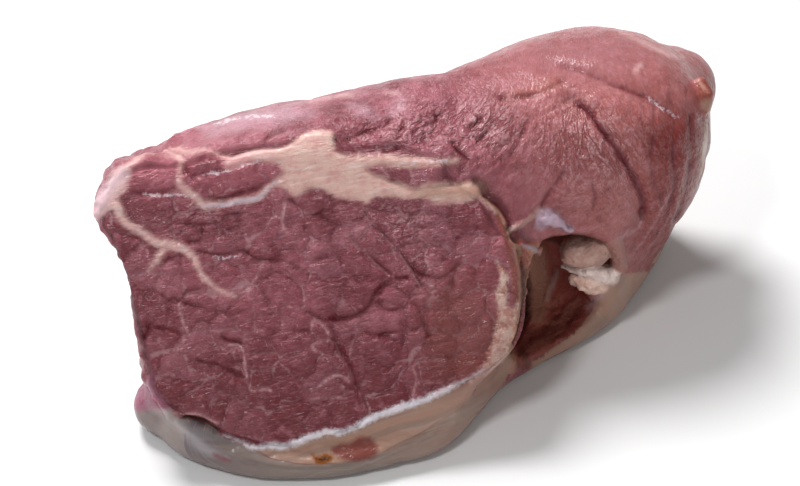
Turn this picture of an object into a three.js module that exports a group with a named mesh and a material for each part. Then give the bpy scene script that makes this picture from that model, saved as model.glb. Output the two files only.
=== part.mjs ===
// A thick boneless piece from the wide end of a beef tenderloin, raw, lying on its silverskin.
// A flat cut face leans back in front. A smaller lobe is set back on the right, and an open recess
// runs in between the two, over a thin flap that lies on the board.
// Millimetres, +X to the right, +Y to the back, +Z up.
import * as THREE from "three";

// The cut face: a point on it, how far it leans back and turns to the right, and its rim as
// [across, up] along the face from that point, round a middle. Behind the rim the block spreads a
// little, and a margin leaves room for the rounding.
const FACE = { point: [-20, -27, 32], leanBack: 34, turnRight: 6.2, round: 4 };
const FACE_RIM = {
  middle: [3, 4],
  points: [
    [-42.3, 23.3], [-39.5, 31], [-34.6, 34.4], [-24.1, 35.8], [-11.5, 36.5], [7.6, 38],
    [22.1, 33.5], [33.6, 28.5], [41.5, 20.5], [45.3, 10.5], [46.2, -2], [43, -12.5],
    [31, -19.8], [16.5, -24.5], [2, -28], [-6.4, -29.1], [-16, -26.9], [-27, -21.5],
    [-32.8, -15.8], [-34.3, -9], [-36.8, 4.9], [-39.4, 15.7],
  ],
  spread: 0.03,
  margin: 1.3,
  round: 4,
};
// The edge of the silverskin where it meets the board, as [x, y].
const BASE_EDGE = {
  middle: [0, 0],
  points: [
    [-54.4, -24], [-54, -32], [-48.8, -40], [-39.2, -45], [-30.1, -47.3], [-21.4, -48.1],
    [-12.4, -47.1], [0.3, -43.1], [8.9, -39.1], [14, -33.9], [18.3, -26.7], [23.4, -19.6],
    [32.3, -12.5], [42, -5], [52.6, 6.2], [62.4, 25], [65.4, 37], [57, 46.4],
    [38, 45], [10, 33], [-22, 24], [-45, 14], [-54.2, 2], [-55, -12],
  ],
};

// The muscles. Boxiness 2 is an ellipsoid, and more is squarer. Fillet is how wide each one blends
// into the ones before it.
const BLOCK = { centre: [-18, -14, 30.5], radii: [54, 40, 32], yaw: 6, boxiness: 2.8 };
const SHOULDER = { point: [-45, 10, 56.5], normal: [-0.42, 0.35, 0.75], round: 12 };
const CORNER_FAT = { centre: [-56, -11, 51], radii: [6.8, 8, 7], fillet: 6 };
const RIDGE = { centre: [8, 12, 37.5], radii: [32, 17, 24], yaw: 20, boxiness: 2.2, fillet: 10 };
const RIGHT_LOBE = { centre: [41, 24, 39], radii: [29.3, 26, 23.9], yaw: 25, boxiness: 2.3, fillet: 12 };
const RIGHT_FLANK = { centre: [54.5, 28, 31], radii: [13, 18, 25], yaw: -10, boxiness: 2.3, fillet: 10 };
const CORE = { centre: [28, 20, 18], radii: [34, 20, 20], yaw: 35, boxiness: 2.2, fillet: 8 };
const SINEW_END = { centre: [66, 40, 43], radii: [8.2, 8, 8], fillet: 8 };

// The side walls that stand on the base edge. They lean in most under the cut face, and they stay
// behind its rim except low down, where they are released.
const WALLS = { height: 36, round: 26, fillet: 8 };
const WALL_LEAN = { most: 0.28, at: -22, width: 22 };
const WALL_RELEASE = { behindRim: 0.9, below: 15.5, slope: 1.3, round: 3 };
// A lump of fat that sticks out of the left wall at the board.
const FRONT_LUMP = { centre: [-53, -28, 4.5], radii: [5.6, 7.5, 6.5], fillet: 3 };

// The recess, the flap under it with a lip at its edge, the fat tag that hangs in it, and how round
// the lowest edge is.
const RECESS = { centre: [35, -6, 17.5], radii: [13.5, 18, 15], yaw: -12, boxiness: 2.2, round: 4 };
const FLAP = { thin: 3, lip: 4.5, lipWidth: 5, slope: 0.1, round: 3, fillet: 3 };
const FAT_TAG = { points: [[43, 13, 22], [44, 8, 16], [46, 3.5, 12.5]], radii: [4, 4.8, 3.8], fillet: 4 };
const BOARD_ROUND = 5;

// Low relief. Lines are grooves between muscle bundles, and single points are lumps of fat or lean.
const RELIEF = [
  {
    line: [[12.8, -7.7, 54.7], [15.3, -8.6, 53], [19.5, -9.1, 50.1], [22.5, -12.5, 45.4]],
    width: 3,
    height: -2.5,
  },
  {
    line: [[37.6, 9.1, 60.7], [44.1, 4.5, 56.8], [50, 1.1, 48.7], [54.4, 1.7, 35.9], [54.9, 5.8, 24.1]],
    width: 3,
    height: -1.4,
  },
  {
    line: [[34.5, 19.5, 63], [45.6, 14.6, 61.9], [55.8, 12.3, 58.1], [61.2, 11.4, 53.9]],
    width: 3,
    height: -1,
  },
  { line: [[-9.9, -5, 61.7], [-6.4, -3.5, 61.9], [-2.4, 0.9, 62.1]], width: 3.5, height: -1.1 },
  { line: [[12.5, 6.3, 60.9], [6.8, -0.3, 60.1], [4.7, -3.9, 59.6]], width: 3, height: -1 },
  { line: [[-52.4, -10.1, 56.1]], width: 6, height: 0.8 },
  { line: [[-41.2, -10.8, 59]], width: 5, height: 0.7 },
  { line: [[-34.5, -12.4, 55.8]], width: 6, height: 0.7 },
];

// The mesh: the side of a sampling cell, the space round the piece, and how it is evened out.
// Vertices that start below the board height, on a surface that faces down, are pressed flat.
const CELL = 3.1;
const SPACE = { low: [-72, -56, -3], high: [84, 60, 70] };
const SMOOTHING = { passes: 6, share: 0.5 };
const BOARD = { below: 0.9, facing: -0.8 };
const SLOPE_STEP = 0.05;
const LEAST_SLOPE = 0.2;

const AXES = [[1, 0, 0], [0, 1, 0], [0, 0, 1]];
const OUTLINE_STEPS = 360;
const STEPS_PER_POINT = 24;
const TINY = 1e-9;

// Joins two distances to surfaces with a fillet about k wide, and cuts the first by the second.
function join(a, b, k) {
  const near = Math.max(k - Math.abs(a - b), 0) / k;
  return Math.min(a, b) - (near * near * k) / 4;
}

function cut(a, b, k) {
  return -join(-a, -b, k);
}

// A rounded body between an ellipsoid and a box, turned about the vertical.
function lobe({ centre, radii, yaw = 0, boxiness = 2 }) {
  const turn = THREE.MathUtils.degToRad(yaw);
  const cos = Math.cos(turn);
  const sin = Math.sin(turn);
  return (p) => {
    const x = p.x - centre[0];
    const y = p.y - centre[1];
    const local = [cos * x + sin * y, cos * y - sin * x, p.z - centre[2]];
    const sizes = local.map((v) => Math.abs(v) + TINY);
    const shares = sizes.map((v, k) => (v / radii[k]) ** boxiness);
    const level = shares.reduce((sum, v) => sum + v, 0) ** (1 / boxiness);
    const slopes = shares.map((v, k) => (level ** (1 - boxiness) * v) / sizes[k]);
    return (level - 1) / Math.hypot(...slopes);
  };
}

// The distance beyond a plane.
function beyond({ point, normal }) {
  const out = new THREE.Vector3(...normal).normalize();
  const level = out.dot(new THREE.Vector3(...point));
  return (p) => out.dot(p) - level;
}

// The distance beyond a closed outline drawn as a smooth curve, measured on rays from its middle.
function outline({ middle, points }) {
  const curve = new THREE.CatmullRomCurve3(
    points.map(([x, y]) => new THREE.Vector3(x - middle[0], y - middle[1], 0)),
    true,
    "catmullrom",
  );
  const polar = curve
    .getPoints(points.length * STEPS_PER_POINT)
    .slice(1)
    .map((q) => ({ angle: Math.atan2(q.y, q.x), radius: Math.hypot(q.x, q.y) }))
    .sort((a, b) => a.angle - b.angle);
  const [first, last] = [polar[0], polar.at(-1)];
  polar.unshift({ ...last, angle: last.angle - 2 * Math.PI });
  polar.push({ ...first, angle: first.angle + 2 * Math.PI });
  const radii = Array.from({ length: OUTLINE_STEPS }, (_, i) => {
    const angle = ((i + 0.5) / OUTLINE_STEPS) * 2 * Math.PI - Math.PI;
    const next = polar.findIndex((q) => q.angle > angle);
    const [before, after] = [polar[next - 1], polar[next]];
    const share = (angle - before.angle) / (after.angle - before.angle);
    return THREE.MathUtils.lerp(before.radius, after.radius, share);
  });
  return (x, y) => {
    const [dx, dy] = [x - middle[0], y - middle[1]];
    const place = ((Math.atan2(dy, dx) + Math.PI) / (2 * Math.PI)) * OUTLINE_STEPS - 0.5;
    const i = Math.floor(place);
    const before = radii[(i + OUTLINE_STEPS) % OUTLINE_STEPS];
    const after = radii[(i + 1) % OUTLINE_STEPS];
    const radius = THREE.MathUtils.lerp(before, after, place - i);
    const slope = ((after - before) * OUTLINE_STEPS) / (2 * Math.PI);
    return (Math.hypot(dx, dy) - radius) / Math.hypot(1, slope / radius);
  };
}

// The distance to a run of straight stretches, and the nearest stretch with the share along it.
function nearest(p, line) {
  const at = new THREE.Vector3();
  let best = { distance: Infinity, index: 0, share: 0 };
  for (let i = 0; i < Math.max(line.length - 1, 1); i++) {
    const start = line[i];
    const end = line[Math.min(i + 1, line.length - 1)];
    const span = at.subVectors(end, start).lengthSq();
    const along = span ? at.dot(p.clone().sub(start)) / span : 0;
    const share = THREE.MathUtils.clamp(along, 0, 1);
    const distance = at.lerpVectors(start, end, share).distanceTo(p);
    if (distance < best.distance) best = { distance, index: i, share };
  }
  return best;
}

const vectors = (points) => points.map((q) => new THREE.Vector3(...q));

// A string of fat with a radius at each of its points.
function string({ points, radii }) {
  const line = vectors(points);
  return (p) => {
    const { distance, index, share } = nearest(p, line);
    return distance - THREE.MathUtils.lerp(radii[index], radii[index + 1], share);
  };
}

// How far the low relief lifts the surface at a point.
function relief(features) {
  const made = features.map((feature) => ({ ...feature, line: vectors(feature.line) }));
  return (p) =>
    made.reduce((sum, { line, width, height }) => {
      const share = nearest(p, line).distance / width;
      return sum + height * Math.exp(-share * share);
    }, 0);
}

// The cut face's own axes: out of the face, to the right along it, and up along it.
function faceAxes({ leanBack, turnRight }) {
  const lean = THREE.MathUtils.degToRad(leanBack);
  const turn = THREE.MathUtils.degToRad(turnRight);
  const right = new THREE.Vector3(Math.cos(turn), Math.sin(turn), 0);
  const level = new THREE.Vector3(Math.sin(turn), -Math.cos(turn), 0);
  const out = level.multiplyScalar(Math.cos(lean)).setZ(Math.sin(lean));
  return { out, right, up: new THREE.Vector3().crossVectors(out, right) };
}

// The rim of the face swept straight back: the distance beyond it, and how far back a point lies.
function sweptRim() {
  const { out, right, up } = faceAxes(FACE);
  const point = new THREE.Vector3(...FACE.point);
  const rim = outline(FACE_RIM);
  return (p) => {
    const from = p.clone().sub(point);
    const depth = from.dot(out) / out.y;
    from.y -= depth;
    return { beyondRim: rim(from.dot(right), from.dot(up)), behind: Math.max(depth, 0) };
  };
}

// All the muscles behind the cut face and to its right.
function muscles() {
  const block = lobe(BLOCK);
  const shoulder = beyond(SHOULDER);
  const others = [CORNER_FAT, RIDGE, CORE, SINEW_END].map((m) => ({ body: lobe(m), ...m }));
  const [rightLobe, rightFlank] = [lobe(RIGHT_LOBE), lobe(RIGHT_FLANK)];
  return (p, { beyondRim, behind }) => {
    const rounded = cut(block(p), shoulder(p), SHOULDER.round);
    const trimmed = cut(rounded, beyondRim - FACE_RIM.spread * behind - FACE_RIM.margin, FACE_RIM.round);
    const [corner, ridge, core, end] = others.map(({ body, fillet }) => ({ away: body(p), fillet }));
    const left = join(join(trimmed, corner.away, corner.fillet), ridge.away, ridge.fillet);
    const right = join(rightLobe(p), rightFlank(p), RIGHT_FLANK.fillet);
    const both = join(left, right, RIGHT_LOBE.fillet);
    return join(join(both, core.away, core.fillet), end.away, end.fillet);
  };
}

// The walls under the muscles, down to the base edge.
function walls(p, edge, { beyondRim, behind }) {
  const lean = WALL_LEAN.most * Math.exp(-(((p.x - WALL_LEAN.at) / WALL_LEAN.width) ** 2));
  const upright = (edge + lean * p.z) / Math.hypot(1, lean);
  const capped = cut(upright, p.z - WALLS.height, WALLS.round);
  const { behindRim, below, slope, round } = WALL_RELEASE;
  return cut(capped, beyondRim - behindRim * behind - slope * Math.max(below - p.z, 0), round);
}

// The thin flap on the board, a little thicker at its lip.
function flap(p, edge) {
  const top = FLAP.thin + FLAP.lip * Math.exp(Math.min(edge, 0) / FLAP.lipWidth);
  return cut(edge + FLAP.slope * p.z, p.z - top, FLAP.round);
}

// The whole piece as a signed distance: negative inside, positive outside.
function tenderloin() {
  const rimAt = sweptRim();
  const baseEdge = outline(BASE_EDGE);
  const meat = muscles();
  const faceCut = beyond({ point: FACE.point, normal: faceAxes(FACE).out.toArray() });
  const lump = lobe(FRONT_LUMP);
  const recess = lobe(RECESS);
  const fatTag = string(FAT_TAG);
  const lift = relief(RELIEF);
  return (p) => {
    const rim = rimAt(p);
    const edge = baseEdge(p.x, p.y);
    const whole = join(meat(p, rim), walls(p, edge, rim), WALLS.fillet);
    const withLump = join(whole, lump(p), FRONT_LUMP.fillet);
    const faced = cut(withLump, faceCut(p), FACE.round);
    const hollowed = cut(faced, -recess(p), RECESS.round);
    const withFlap = join(hollowed, flap(p, edge), FLAP.fillet);
    const withTag = join(withFlap, fatTag(p), FAT_TAG.fillet);
    return cut(withTag - lift(p), -p.z, BOARD_ROUND);
  };
}

// The slope of a distance, by central differences.
function slopeOf(distance, p) {
  const slopes = AXES.map((axis) => {
    const step = new THREE.Vector3(...axis).multiplyScalar(SLOPE_STEP);
    return distance(p.clone().add(step)) - distance(p.clone().sub(step));
  });
  return new THREE.Vector3(...slopes).divideScalar(2 * SLOPE_STEP);
}

const moved = (cell, step, by = 1) => cell.map((v, k) => v + by * step[k]);

// Distances at the corners of a grid of cells. Where a cell's side has its two inner corners across
// from each other, the surface would touch itself along an edge, so the nearest corner changes sides.
function sampled(distance) {
  const count = SPACE.low.map((low, k) => Math.ceil((SPACE.high[k] - low) / CELL) + 1);
  const place = ([i, j, k]) => i + count[0] * (j + count[1] * k);
  const corner = (cell) => new THREE.Vector3(...cell.map((v, k) => SPACE.low[k] + v * CELL));
  const inGrid = (cell) => cell.every((v, k) => v < count[k]);
  const cells = [];
  for (let k = 0; k < count[2]; k++)
    for (let j = 0; j < count[1]; j++)
      for (let i = 0; i < count[0]; i++) cells.push([i, j, k]);
  const values = Float64Array.from(cells, (cell) => distance(corner(cell)));
  for (const cell of cells)
    for (const [first, second] of [[0, 1], [1, 2], [2, 0]].map((pair) => pair.map((k) => AXES[k]))) {
      const side = [cell, moved(cell, first), moved(moved(cell, first), second), moved(cell, second)];
      if (!side.every(inGrid)) continue;
      const places = side.map(place);
      const inner = places.map((i) => values[i] < 0);
      if (inner[0] !== inner[2] || inner[1] !== inner[3] || inner[0] === inner[1]) continue;
      const least = Math.min(...places.map((i) => Math.abs(values[i])));
      values[places.find((i) => Math.abs(values[i]) === least)] *= -1;
    }
  const valueAt = (cell) => values[place(cell)];
  return { cells: cells.filter((cell) => inGrid(cell.map((v) => v + 1))), place, corner, valueAt };
}

// Splits quads along their shorter diagonals, or the longer one where the shorter is used already.
function halver(vertices) {
  const used = new Set();
  return ([a, b, c, d]) => {
    const halves = [
      { ends: [a, c], triangles: [a, b, c, a, c, d] },
      { ends: [b, d], triangles: [a, b, d, b, c, d] },
    ].map((half) => ({
      ...half,
      key: half.ends.toSorted((m, n) => m - n).join(),
      length: vertices[half.ends[0]].distanceTo(vertices[half.ends[1]]),
    }));
    halves.sort((m, n) => m.length - n.length);
    const chosen = halves.find((half) => !used.has(half.key)) ?? halves[0];
    used.add(chosen.key);
    return chosen.triangles;
  };
}

// One vertex in each cell that the surface crosses, and a quad round each crossed edge of the grid.
function surfaceNet(distance) {
  const { cells, place, corner, valueAt } = sampled(distance);
  const corners = Array.from({ length: 8 }, (_, n) => [n & 1, (n >> 1) & 1, n >> 2]);
  const edges = corners.flatMap((from) =>
    AXES.filter((axis) => !from.some((v, k) => v + axis[k] > 1)).map((axis) => [from, moved(from, axis)]),
  );
  const crosses = (a, b) => valueAt(a) < 0 !== valueAt(b) < 0;
  const vertexOf = new Map();
  const vertices = [];
  for (const cell of cells) {
    const crossings = edges
      .map((edge) => edge.map((end) => moved(cell, end)))
      .filter(([a, b]) => crosses(a, b))
      .map(([a, b]) => corner(a).lerp(corner(b), valueAt(a) / (valueAt(a) - valueAt(b))));
    if (!crossings.length) continue;
    const middle = crossings.reduce((sum, q) => sum.add(q), new THREE.Vector3());
    vertexOf.set(place(cell), vertices.length);
    vertices.push(middle.divideScalar(crossings.length));
  }
  const rings = [];
  for (const cell of cells)
    AXES.forEach((axis, k) => {
      const [first, second] = [AXES[(k + 1) % 3], AXES[(k + 2) % 3]];
      const end = moved(cell, axis);
      if (cell[(k + 1) % 3] < 1 || cell[(k + 2) % 3] < 1 || !crosses(cell, end)) return;
      const back = moved(cell, first, -1);
      const ring = [cell, back, moved(back, second, -1), moved(cell, second, -1)];
      if (valueAt(end) < valueAt(cell)) ring.reverse();
      rings.push(ring.map((c) => vertexOf.get(place(c))));
    });
  return { vertices, triangles: rings.flatMap(halver(vertices)) };
}

// Evens the mesh out, keeping its vertices on the surface and the lowest of them on the board.
function settle({ vertices, triangles }, distance) {
  const neighbours = vertices.map(() => new Set());
  triangles.forEach((vertex, i) => {
    const next = triangles[i % 3 === 2 ? i - 2 : i + 1];
    neighbours[vertex].add(next);
    neighbours[next].add(vertex);
  });
  const onBoard = vertices.map((v) => v.z < BOARD.below && slopeOf(distance, v).z < BOARD.facing);
  const seat = (v, i) => {
    const slope = slopeOf(distance, v);
    if (!onBoard[i]) v.addScaledVector(slope, -distance(v) / Math.max(slope.lengthSq(), LEAST_SLOPE));
    v.z = onBoard[i] ? 0 : Math.max(v.z, 0);
  };
  vertices.forEach(seat);
  for (let pass = 0; pass < SMOOTHING.passes; pass++) {
    const means = neighbours.map((near) =>
      [...near].reduce((sum, n) => sum.add(vertices[n]), new THREE.Vector3()).divideScalar(near.size),
    );
    vertices.forEach((v, i) => v.lerp(means[i], SMOOTHING.share));
    vertices.forEach(seat);
  }
  vertices.forEach(seat);
}

// The solid, with the middle of its box over the origin and its base on the board.
function meatGeometry() {
  const distance = tenderloin();
  const net = surfaceNet(distance);
  settle(net, distance);
  const geometry = new THREE.BufferGeometry().setFromPoints(net.vertices);
  geometry.setIndex(net.triangles);
  geometry.computeBoundingBox();
  const middle = geometry.boundingBox.getCenter(new THREE.Vector3());
  geometry.translate(-middle.x, -middle.y, -geometry.boundingBox.min.z);
  geometry.computeVertexNormals();
  return geometry;
}

function rawBeef() {
  return new THREE.MeshStandardMaterial({ color: 0x9c4350, roughness: 0.35, metalness: 0 });
}

const steak = new THREE.Mesh(meatGeometry(), rawBeef());
steak.name = "beef_tenderloin";

const object = new THREE.Group();
object.add(steak);

export default object;
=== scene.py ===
import bpy
import numpy as np
from mathutils import Matrix, Vector


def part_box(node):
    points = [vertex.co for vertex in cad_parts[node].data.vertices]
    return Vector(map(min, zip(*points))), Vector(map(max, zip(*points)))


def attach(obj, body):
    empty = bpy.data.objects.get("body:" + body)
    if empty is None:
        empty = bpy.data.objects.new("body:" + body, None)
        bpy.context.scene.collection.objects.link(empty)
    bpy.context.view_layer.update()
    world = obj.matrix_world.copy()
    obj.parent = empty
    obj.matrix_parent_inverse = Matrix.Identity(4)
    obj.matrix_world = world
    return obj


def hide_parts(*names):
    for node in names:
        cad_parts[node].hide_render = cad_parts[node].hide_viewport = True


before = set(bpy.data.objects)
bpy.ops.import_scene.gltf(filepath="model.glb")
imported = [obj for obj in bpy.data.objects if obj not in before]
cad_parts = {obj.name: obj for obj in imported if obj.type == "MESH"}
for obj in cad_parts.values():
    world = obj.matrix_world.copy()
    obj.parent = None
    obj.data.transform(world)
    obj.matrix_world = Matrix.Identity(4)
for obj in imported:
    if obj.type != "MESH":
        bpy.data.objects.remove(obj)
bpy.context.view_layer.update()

# The piece's own shape in millimetres, from the same named bodies as the solid, in the frame in
# which they are drawn. The whole is moved over the origin at the end, as the solid is.
FACE = dict(point=(-20, -27, 32), lean_back=34, turn_right=6.2, round=4)
FACE_RIM = dict(
    middle=(3, 4),
    points=[
        (-42.3, 23.3), (-39.5, 31), (-34.6, 34.4), (-24.1, 35.8), (-11.5, 36.5), (7.6, 38),
        (22.1, 33.5), (33.6, 28.5), (41.5, 20.5), (45.3, 10.5), (46.2, -2), (43, -12.5),
        (31, -19.8), (16.5, -24.5), (2, -28), (-6.4, -29.1), (-16, -26.9), (-27, -21.5),
        (-32.8, -15.8), (-34.3, -9), (-36.8, 4.9), (-39.4, 15.7),
    ],
)
RIM = dict(spread=0.03, margin=1.3, round=4)
BASE_EDGE = dict(
    middle=(0, 0),
    points=[
        (-54.4, -24), (-54, -32), (-48.8, -40), (-39.2, -45), (-30.1, -47.3), (-21.4, -48.1),
        (-12.4, -47.1), (0.3, -43.1), (8.9, -39.1), (14, -33.9), (18.3, -26.7), (23.4, -19.6),
        (32.3, -12.5), (42, -5), (52.6, 6.2), (62.4, 25), (65.4, 37), (57, 46.4),
        (38, 45), (10, 33), (-22, 24), (-45, 14), (-54.2, 2), (-55, -12),
    ],
)
BLOCK = dict(centre=(-18, -14, 30.5), radii=(54, 40, 32), yaw=6, boxiness=2.8)
SHOULDER = dict(point=(-45, 10, 56.5), normal=(-0.42, 0.35, 0.75))
SHOULDER_ROUND = 12
CORNER_FAT = dict(centre=(-56, -11, 51), radii=(6.8, 8, 7))
RIDGE = dict(centre=(8, 12, 37.5), radii=(32, 17, 24), yaw=20, boxiness=2.2)
RIGHT_LOBE = dict(centre=(41, 24, 39), radii=(29.3, 26, 23.9), yaw=25, boxiness=2.3)
RIGHT_FLANK = dict(centre=(54.5, 28, 31), radii=(13, 18, 25), yaw=-10, boxiness=2.3)
CORE = dict(centre=(28, 20, 18), radii=(34, 20, 20), yaw=35, boxiness=2.2)
SINEW_END = dict(centre=(66, 40, 43), radii=(8.2, 8, 8))
FRONT_LUMP = dict(centre=(-53, -28, 4.5), radii=(5.6, 7.5, 6.5))
FILLET = dict(corner=6, ridge=10, flank=10, lobe=12, core=8, sinew=8, walls=8, lump=3, flap=3, tag=4)
WALLS = dict(height=36, round=26)
WALL_LEAN = dict(most=0.28, at=-22, width=22)
WALL_RELEASE = dict(behind_rim=0.9, below=15.5, slope=1.3, round=3)
RECESS = dict(centre=(35, -6, 17.5), radii=(13.5, 18, 15), yaw=-12, boxiness=2.2)
RECESS_ROUND = 4
FLAP = dict(thin=3, lip=4.5, lip_width=5, slope=0.1, round=3)
FAT_TAG = dict(points=[(43, 13, 22), (44, 8, 16), (46, 3.5, 12.5)], radii=(4, 4.8, 3.8))
BOARD_ROUND = 5
# Dents and lumps along lines: how high in the middle, and how wide.
RELIEF = [
    dict(height=-2.5, width=3, line=[
        (12.8, -7.7, 54.7), (15.3, -8.6, 53), (19.5, -9.1, 50.1), (22.5, -12.5, 45.4)]),
    dict(height=-1.4, width=3, line=[
        (37.6, 9.1, 60.7), (44.1, 4.5, 56.8), (50, 1.1, 48.7), (54.4, 1.7, 35.9), (54.9, 5.8, 24.1)]),
    dict(height=-1, width=3, line=[
        (34.5, 19.5, 63), (45.6, 14.6, 61.9), (55.8, 12.3, 58.1), (61.2, 11.4, 53.9)]),
    dict(height=-1.1, width=3.5, line=[(-9.9, -5, 61.7), (-6.4, -3.5, 61.9), (-2.4, 0.9, 62.1)]),
    dict(height=-1, width=3, line=[(12.5, 6.3, 60.9), (6.8, -0.3, 60.1), (4.7, -3.9, 59.6)]),
    dict(height=0.8, width=6, line=[(-52.4, -10.1, 56.1)]),
    dict(height=0.7, width=5, line=[(-41.2, -10.8, 59)]),
    dict(height=0.7, width=6, line=[(-34.5, -12.4, 55.8)]),
]

# What hangs in the recess, the shreds round it and the frayed end on the right: strings through
# points, each with a radius at every point.
SHREDS = dict(
    white=dict(radii=(0.7, 1.3, 1.8, 1.6, 1.7), points=[
        (37, 3.6, 18), (39.8, 2, 18.9), (43, 1.2, 19.1), (46.2, 1, 17.8), (48.6, 2, 16.6)]),
    cream=dict(radii=(1.6, 2.5, 1.8), points=[(40.4, 2.2, 15.2), (43.2, 1.2, 15.2), (46.2, 1.6, 14.6)]),
    lavender=dict(radii=(0.7, 1.2, 1.6, 1.5, 0.9, 0.5), points=[
        (30.6, -4.6, 36.4), (30.9, -5.8, 38.6), (31.9, -6.2, 40.4), (33.9, -6.3, 39.4), (36, -5.9, 37.2),
        (38.2, -5.3, 35.8)]),
    tissue=dict(radii=(1, 1.4, 1.6), points=[(47.8, 0.2, 28.7), (49.2, 1, 24.9), (50.6, 3, 18.6)]),
    membrane=dict(radii=(0.7, 0.9, 0.7), points=[(26.3, -9, 35.6), (28.2, -7, 33), (30.7, -5, 30.5)]),
    end=dict(radii=(1.7, 2.4, 2), points=[(67.9, 24.3, 54.6), (68.6, 22.8, 52.6), (68.5, 21.2, 50.4)]),
)
NODULE = dict(centre=(42.1, 2, 24.4), radii=(5.5, 3.6, 3.5), yaw=12, boxiness=2.8)
SHRED_FILLET = 1.2

# The mesh: the cell, how many of them a coarse step takes, how near the surface the cells are worked
# out in full, and the space that they fill. Triangles that face the camera by more than a share are
# split once.
CELL = 1.05
COARSE = 4
NEAR = 4.5
SPACE = dict(low=(-70, -52, -2.7), high=(81.2, 59.6, 69.3))
SMOOTHING_PASSES = 4
FACING_CAMERA = 0.08

# The step over which a slope is measured, the least squared slope that a move onto the surface is
# worked out with, how near the solid's shape a vertex is that isn't on a shred, and a length near nothing.
SLOPE_STEP = 0.05
LEAST_SLOPE = 0.2
ON_SOLID = 0.2
TINY = 1e-9
MM_PER_M = 1000

# The camera, in the same frame as the shape, and the picture that it takes.
PICTURE = dict(width=800, height=486)
LENS = 85
SENSOR = 36
ELEVATION = 40
DISTANCE = 425
TARGET = (0, 0, 28)
MM_PER_PIXEL = 0.225

# What the camera sees: by what share a surface is turned to it, the steps in millimetres along the ray
# to it, and how deep in the meat a step is that hides the surface.
SIGHT = dict(facing=(0.02, 0.2), steps=np.arange(3, 60, 3), inside=(-1.2, -0.2))

# Noise: how many random values it picks from, and the factors that pick one for a cell.
NOISE_VALUES = 4096
NOISE_FACTORS = (73856093, 19349663, 83492791)


def join(a, b, k):
    """Two distances joined with a fillet about k wide."""
    near = np.maximum(k - np.abs(a - b), 0) / k
    return np.minimum(a, b) - near * near * k / 4


def cut(a, b, k):
    return -join(-a, -b, k)


def unit(v):
    v = np.asarray(v, float)
    return v / np.linalg.norm(v, axis=-1, keepdims=True)


def lobe(p, centre, radii, yaw=0, boxiness=2):
    """A rounded body between an ellipsoid and a box, turned about the vertical."""
    cos, sin = np.cos(np.radians(yaw)), np.sin(np.radians(yaw))
    x, y = p[..., 0] - centre[0], p[..., 1] - centre[1]
    local = np.abs(np.stack([cos * x + sin * y, cos * y - sin * x, p[..., 2] - centre[2]], -1)) + TINY
    shares = (local / radii) ** boxiness
    level = shares.sum(-1) ** (1 / boxiness)
    slopes = level[..., None] ** (1 - boxiness) * shares / local
    return (level - 1) / np.linalg.norm(slopes, axis=-1)


def beyond(p, point, normal):
    return (p - np.array(point, float)) @ unit(normal)


def smooth_curve(points, steps, closed=False):
    """A smooth curve through the points, as a dense run of points."""
    points = np.array(points, float)
    if not closed:
        points = np.concatenate([[2 * points[0] - points[1]], points, [2 * points[-1] - points[-2]]])
    spans = len(points) if closed else len(points) - 3
    t = (np.arange(steps) / steps)[:, None]
    dense = []
    for i in range(spans):
        first = i - 1 if closed else i
        a, b, c, d = (points[(first + k) % len(points)] for k in range(4))
        dense.append(b + (c - a) * t / 2 + (2 * a - 5 * b + 4 * c - d) * t**2 / 2
                     + (3 * b - a - 3 * c + d) * t**3 / 2)
    if not closed:
        dense.append(points[-2][None])
    return np.concatenate(dense)


class Outline:
    """The distance beyond a closed smooth outline, measured on rays from its middle."""

    STEPS = 360
    STEPS_PER_POINT = 24

    def __init__(self, middle, points):
        self.middle = middle
        dense = smooth_curve(np.array(points, float) - middle, self.STEPS_PER_POINT, closed=True)
        angle = np.arctan2(dense[:, 1], dense[:, 0])
        order = np.argsort(angle)
        grid = (np.arange(self.STEPS) + 0.5) / self.STEPS * 2 * np.pi - np.pi
        self.radii = np.interp(grid, angle[order], np.hypot(*dense.T)[order], period=2 * np.pi)

    def __call__(self, x, y):
        dx, dy = x - self.middle[0], y - self.middle[1]
        place = (np.arctan2(dy, dx) + np.pi) / (2 * np.pi) * self.STEPS - 0.5
        i = np.floor(place).astype(int)
        before, after = self.radii[i % self.STEPS], self.radii[(i + 1) % self.STEPS]
        radius = before + (after - before) * (place - i)
        slope = (after - before) * self.STEPS / (2 * np.pi)
        return (np.hypot(dx, dy) - radius) / np.hypot(1, slope / radius)


def nearest(p, line):
    """The distance to a run of straight stretches, the nearest stretch and the share along it."""
    line = np.array(line, float)
    best = np.full(p.shape[:-1], np.inf)
    index = np.zeros(p.shape[:-1], int)
    share = np.zeros(p.shape[:-1])
    for i in range(max(len(line) - 1, 1)):
        start, end = line[i], line[min(i + 1, len(line) - 1)]
        span = (end - start) @ (end - start)
        along = np.clip((p - start) @ (end - start) / span, 0, 1) if span else np.zeros(p.shape[:-1])
        distance = np.linalg.norm(p - start - along[..., None] * (end - start), axis=-1)
        closer = distance < best
        best = np.where(closer, distance, best)
        index = np.where(closer, i, index)
        share = np.where(closer, along, share)
    return best, index, share


def string(p, points, radii):
    distance, i, share = nearest(p, points)
    radii = np.array(radii, float)
    return distance - (radii[i] + (radii[i + 1] - radii[i]) * share)


def relief(p):
    return sum(f["height"] * np.exp(-(nearest(p, f["line"])[0] / f["width"]) ** 2) for f in RELIEF)


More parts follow.
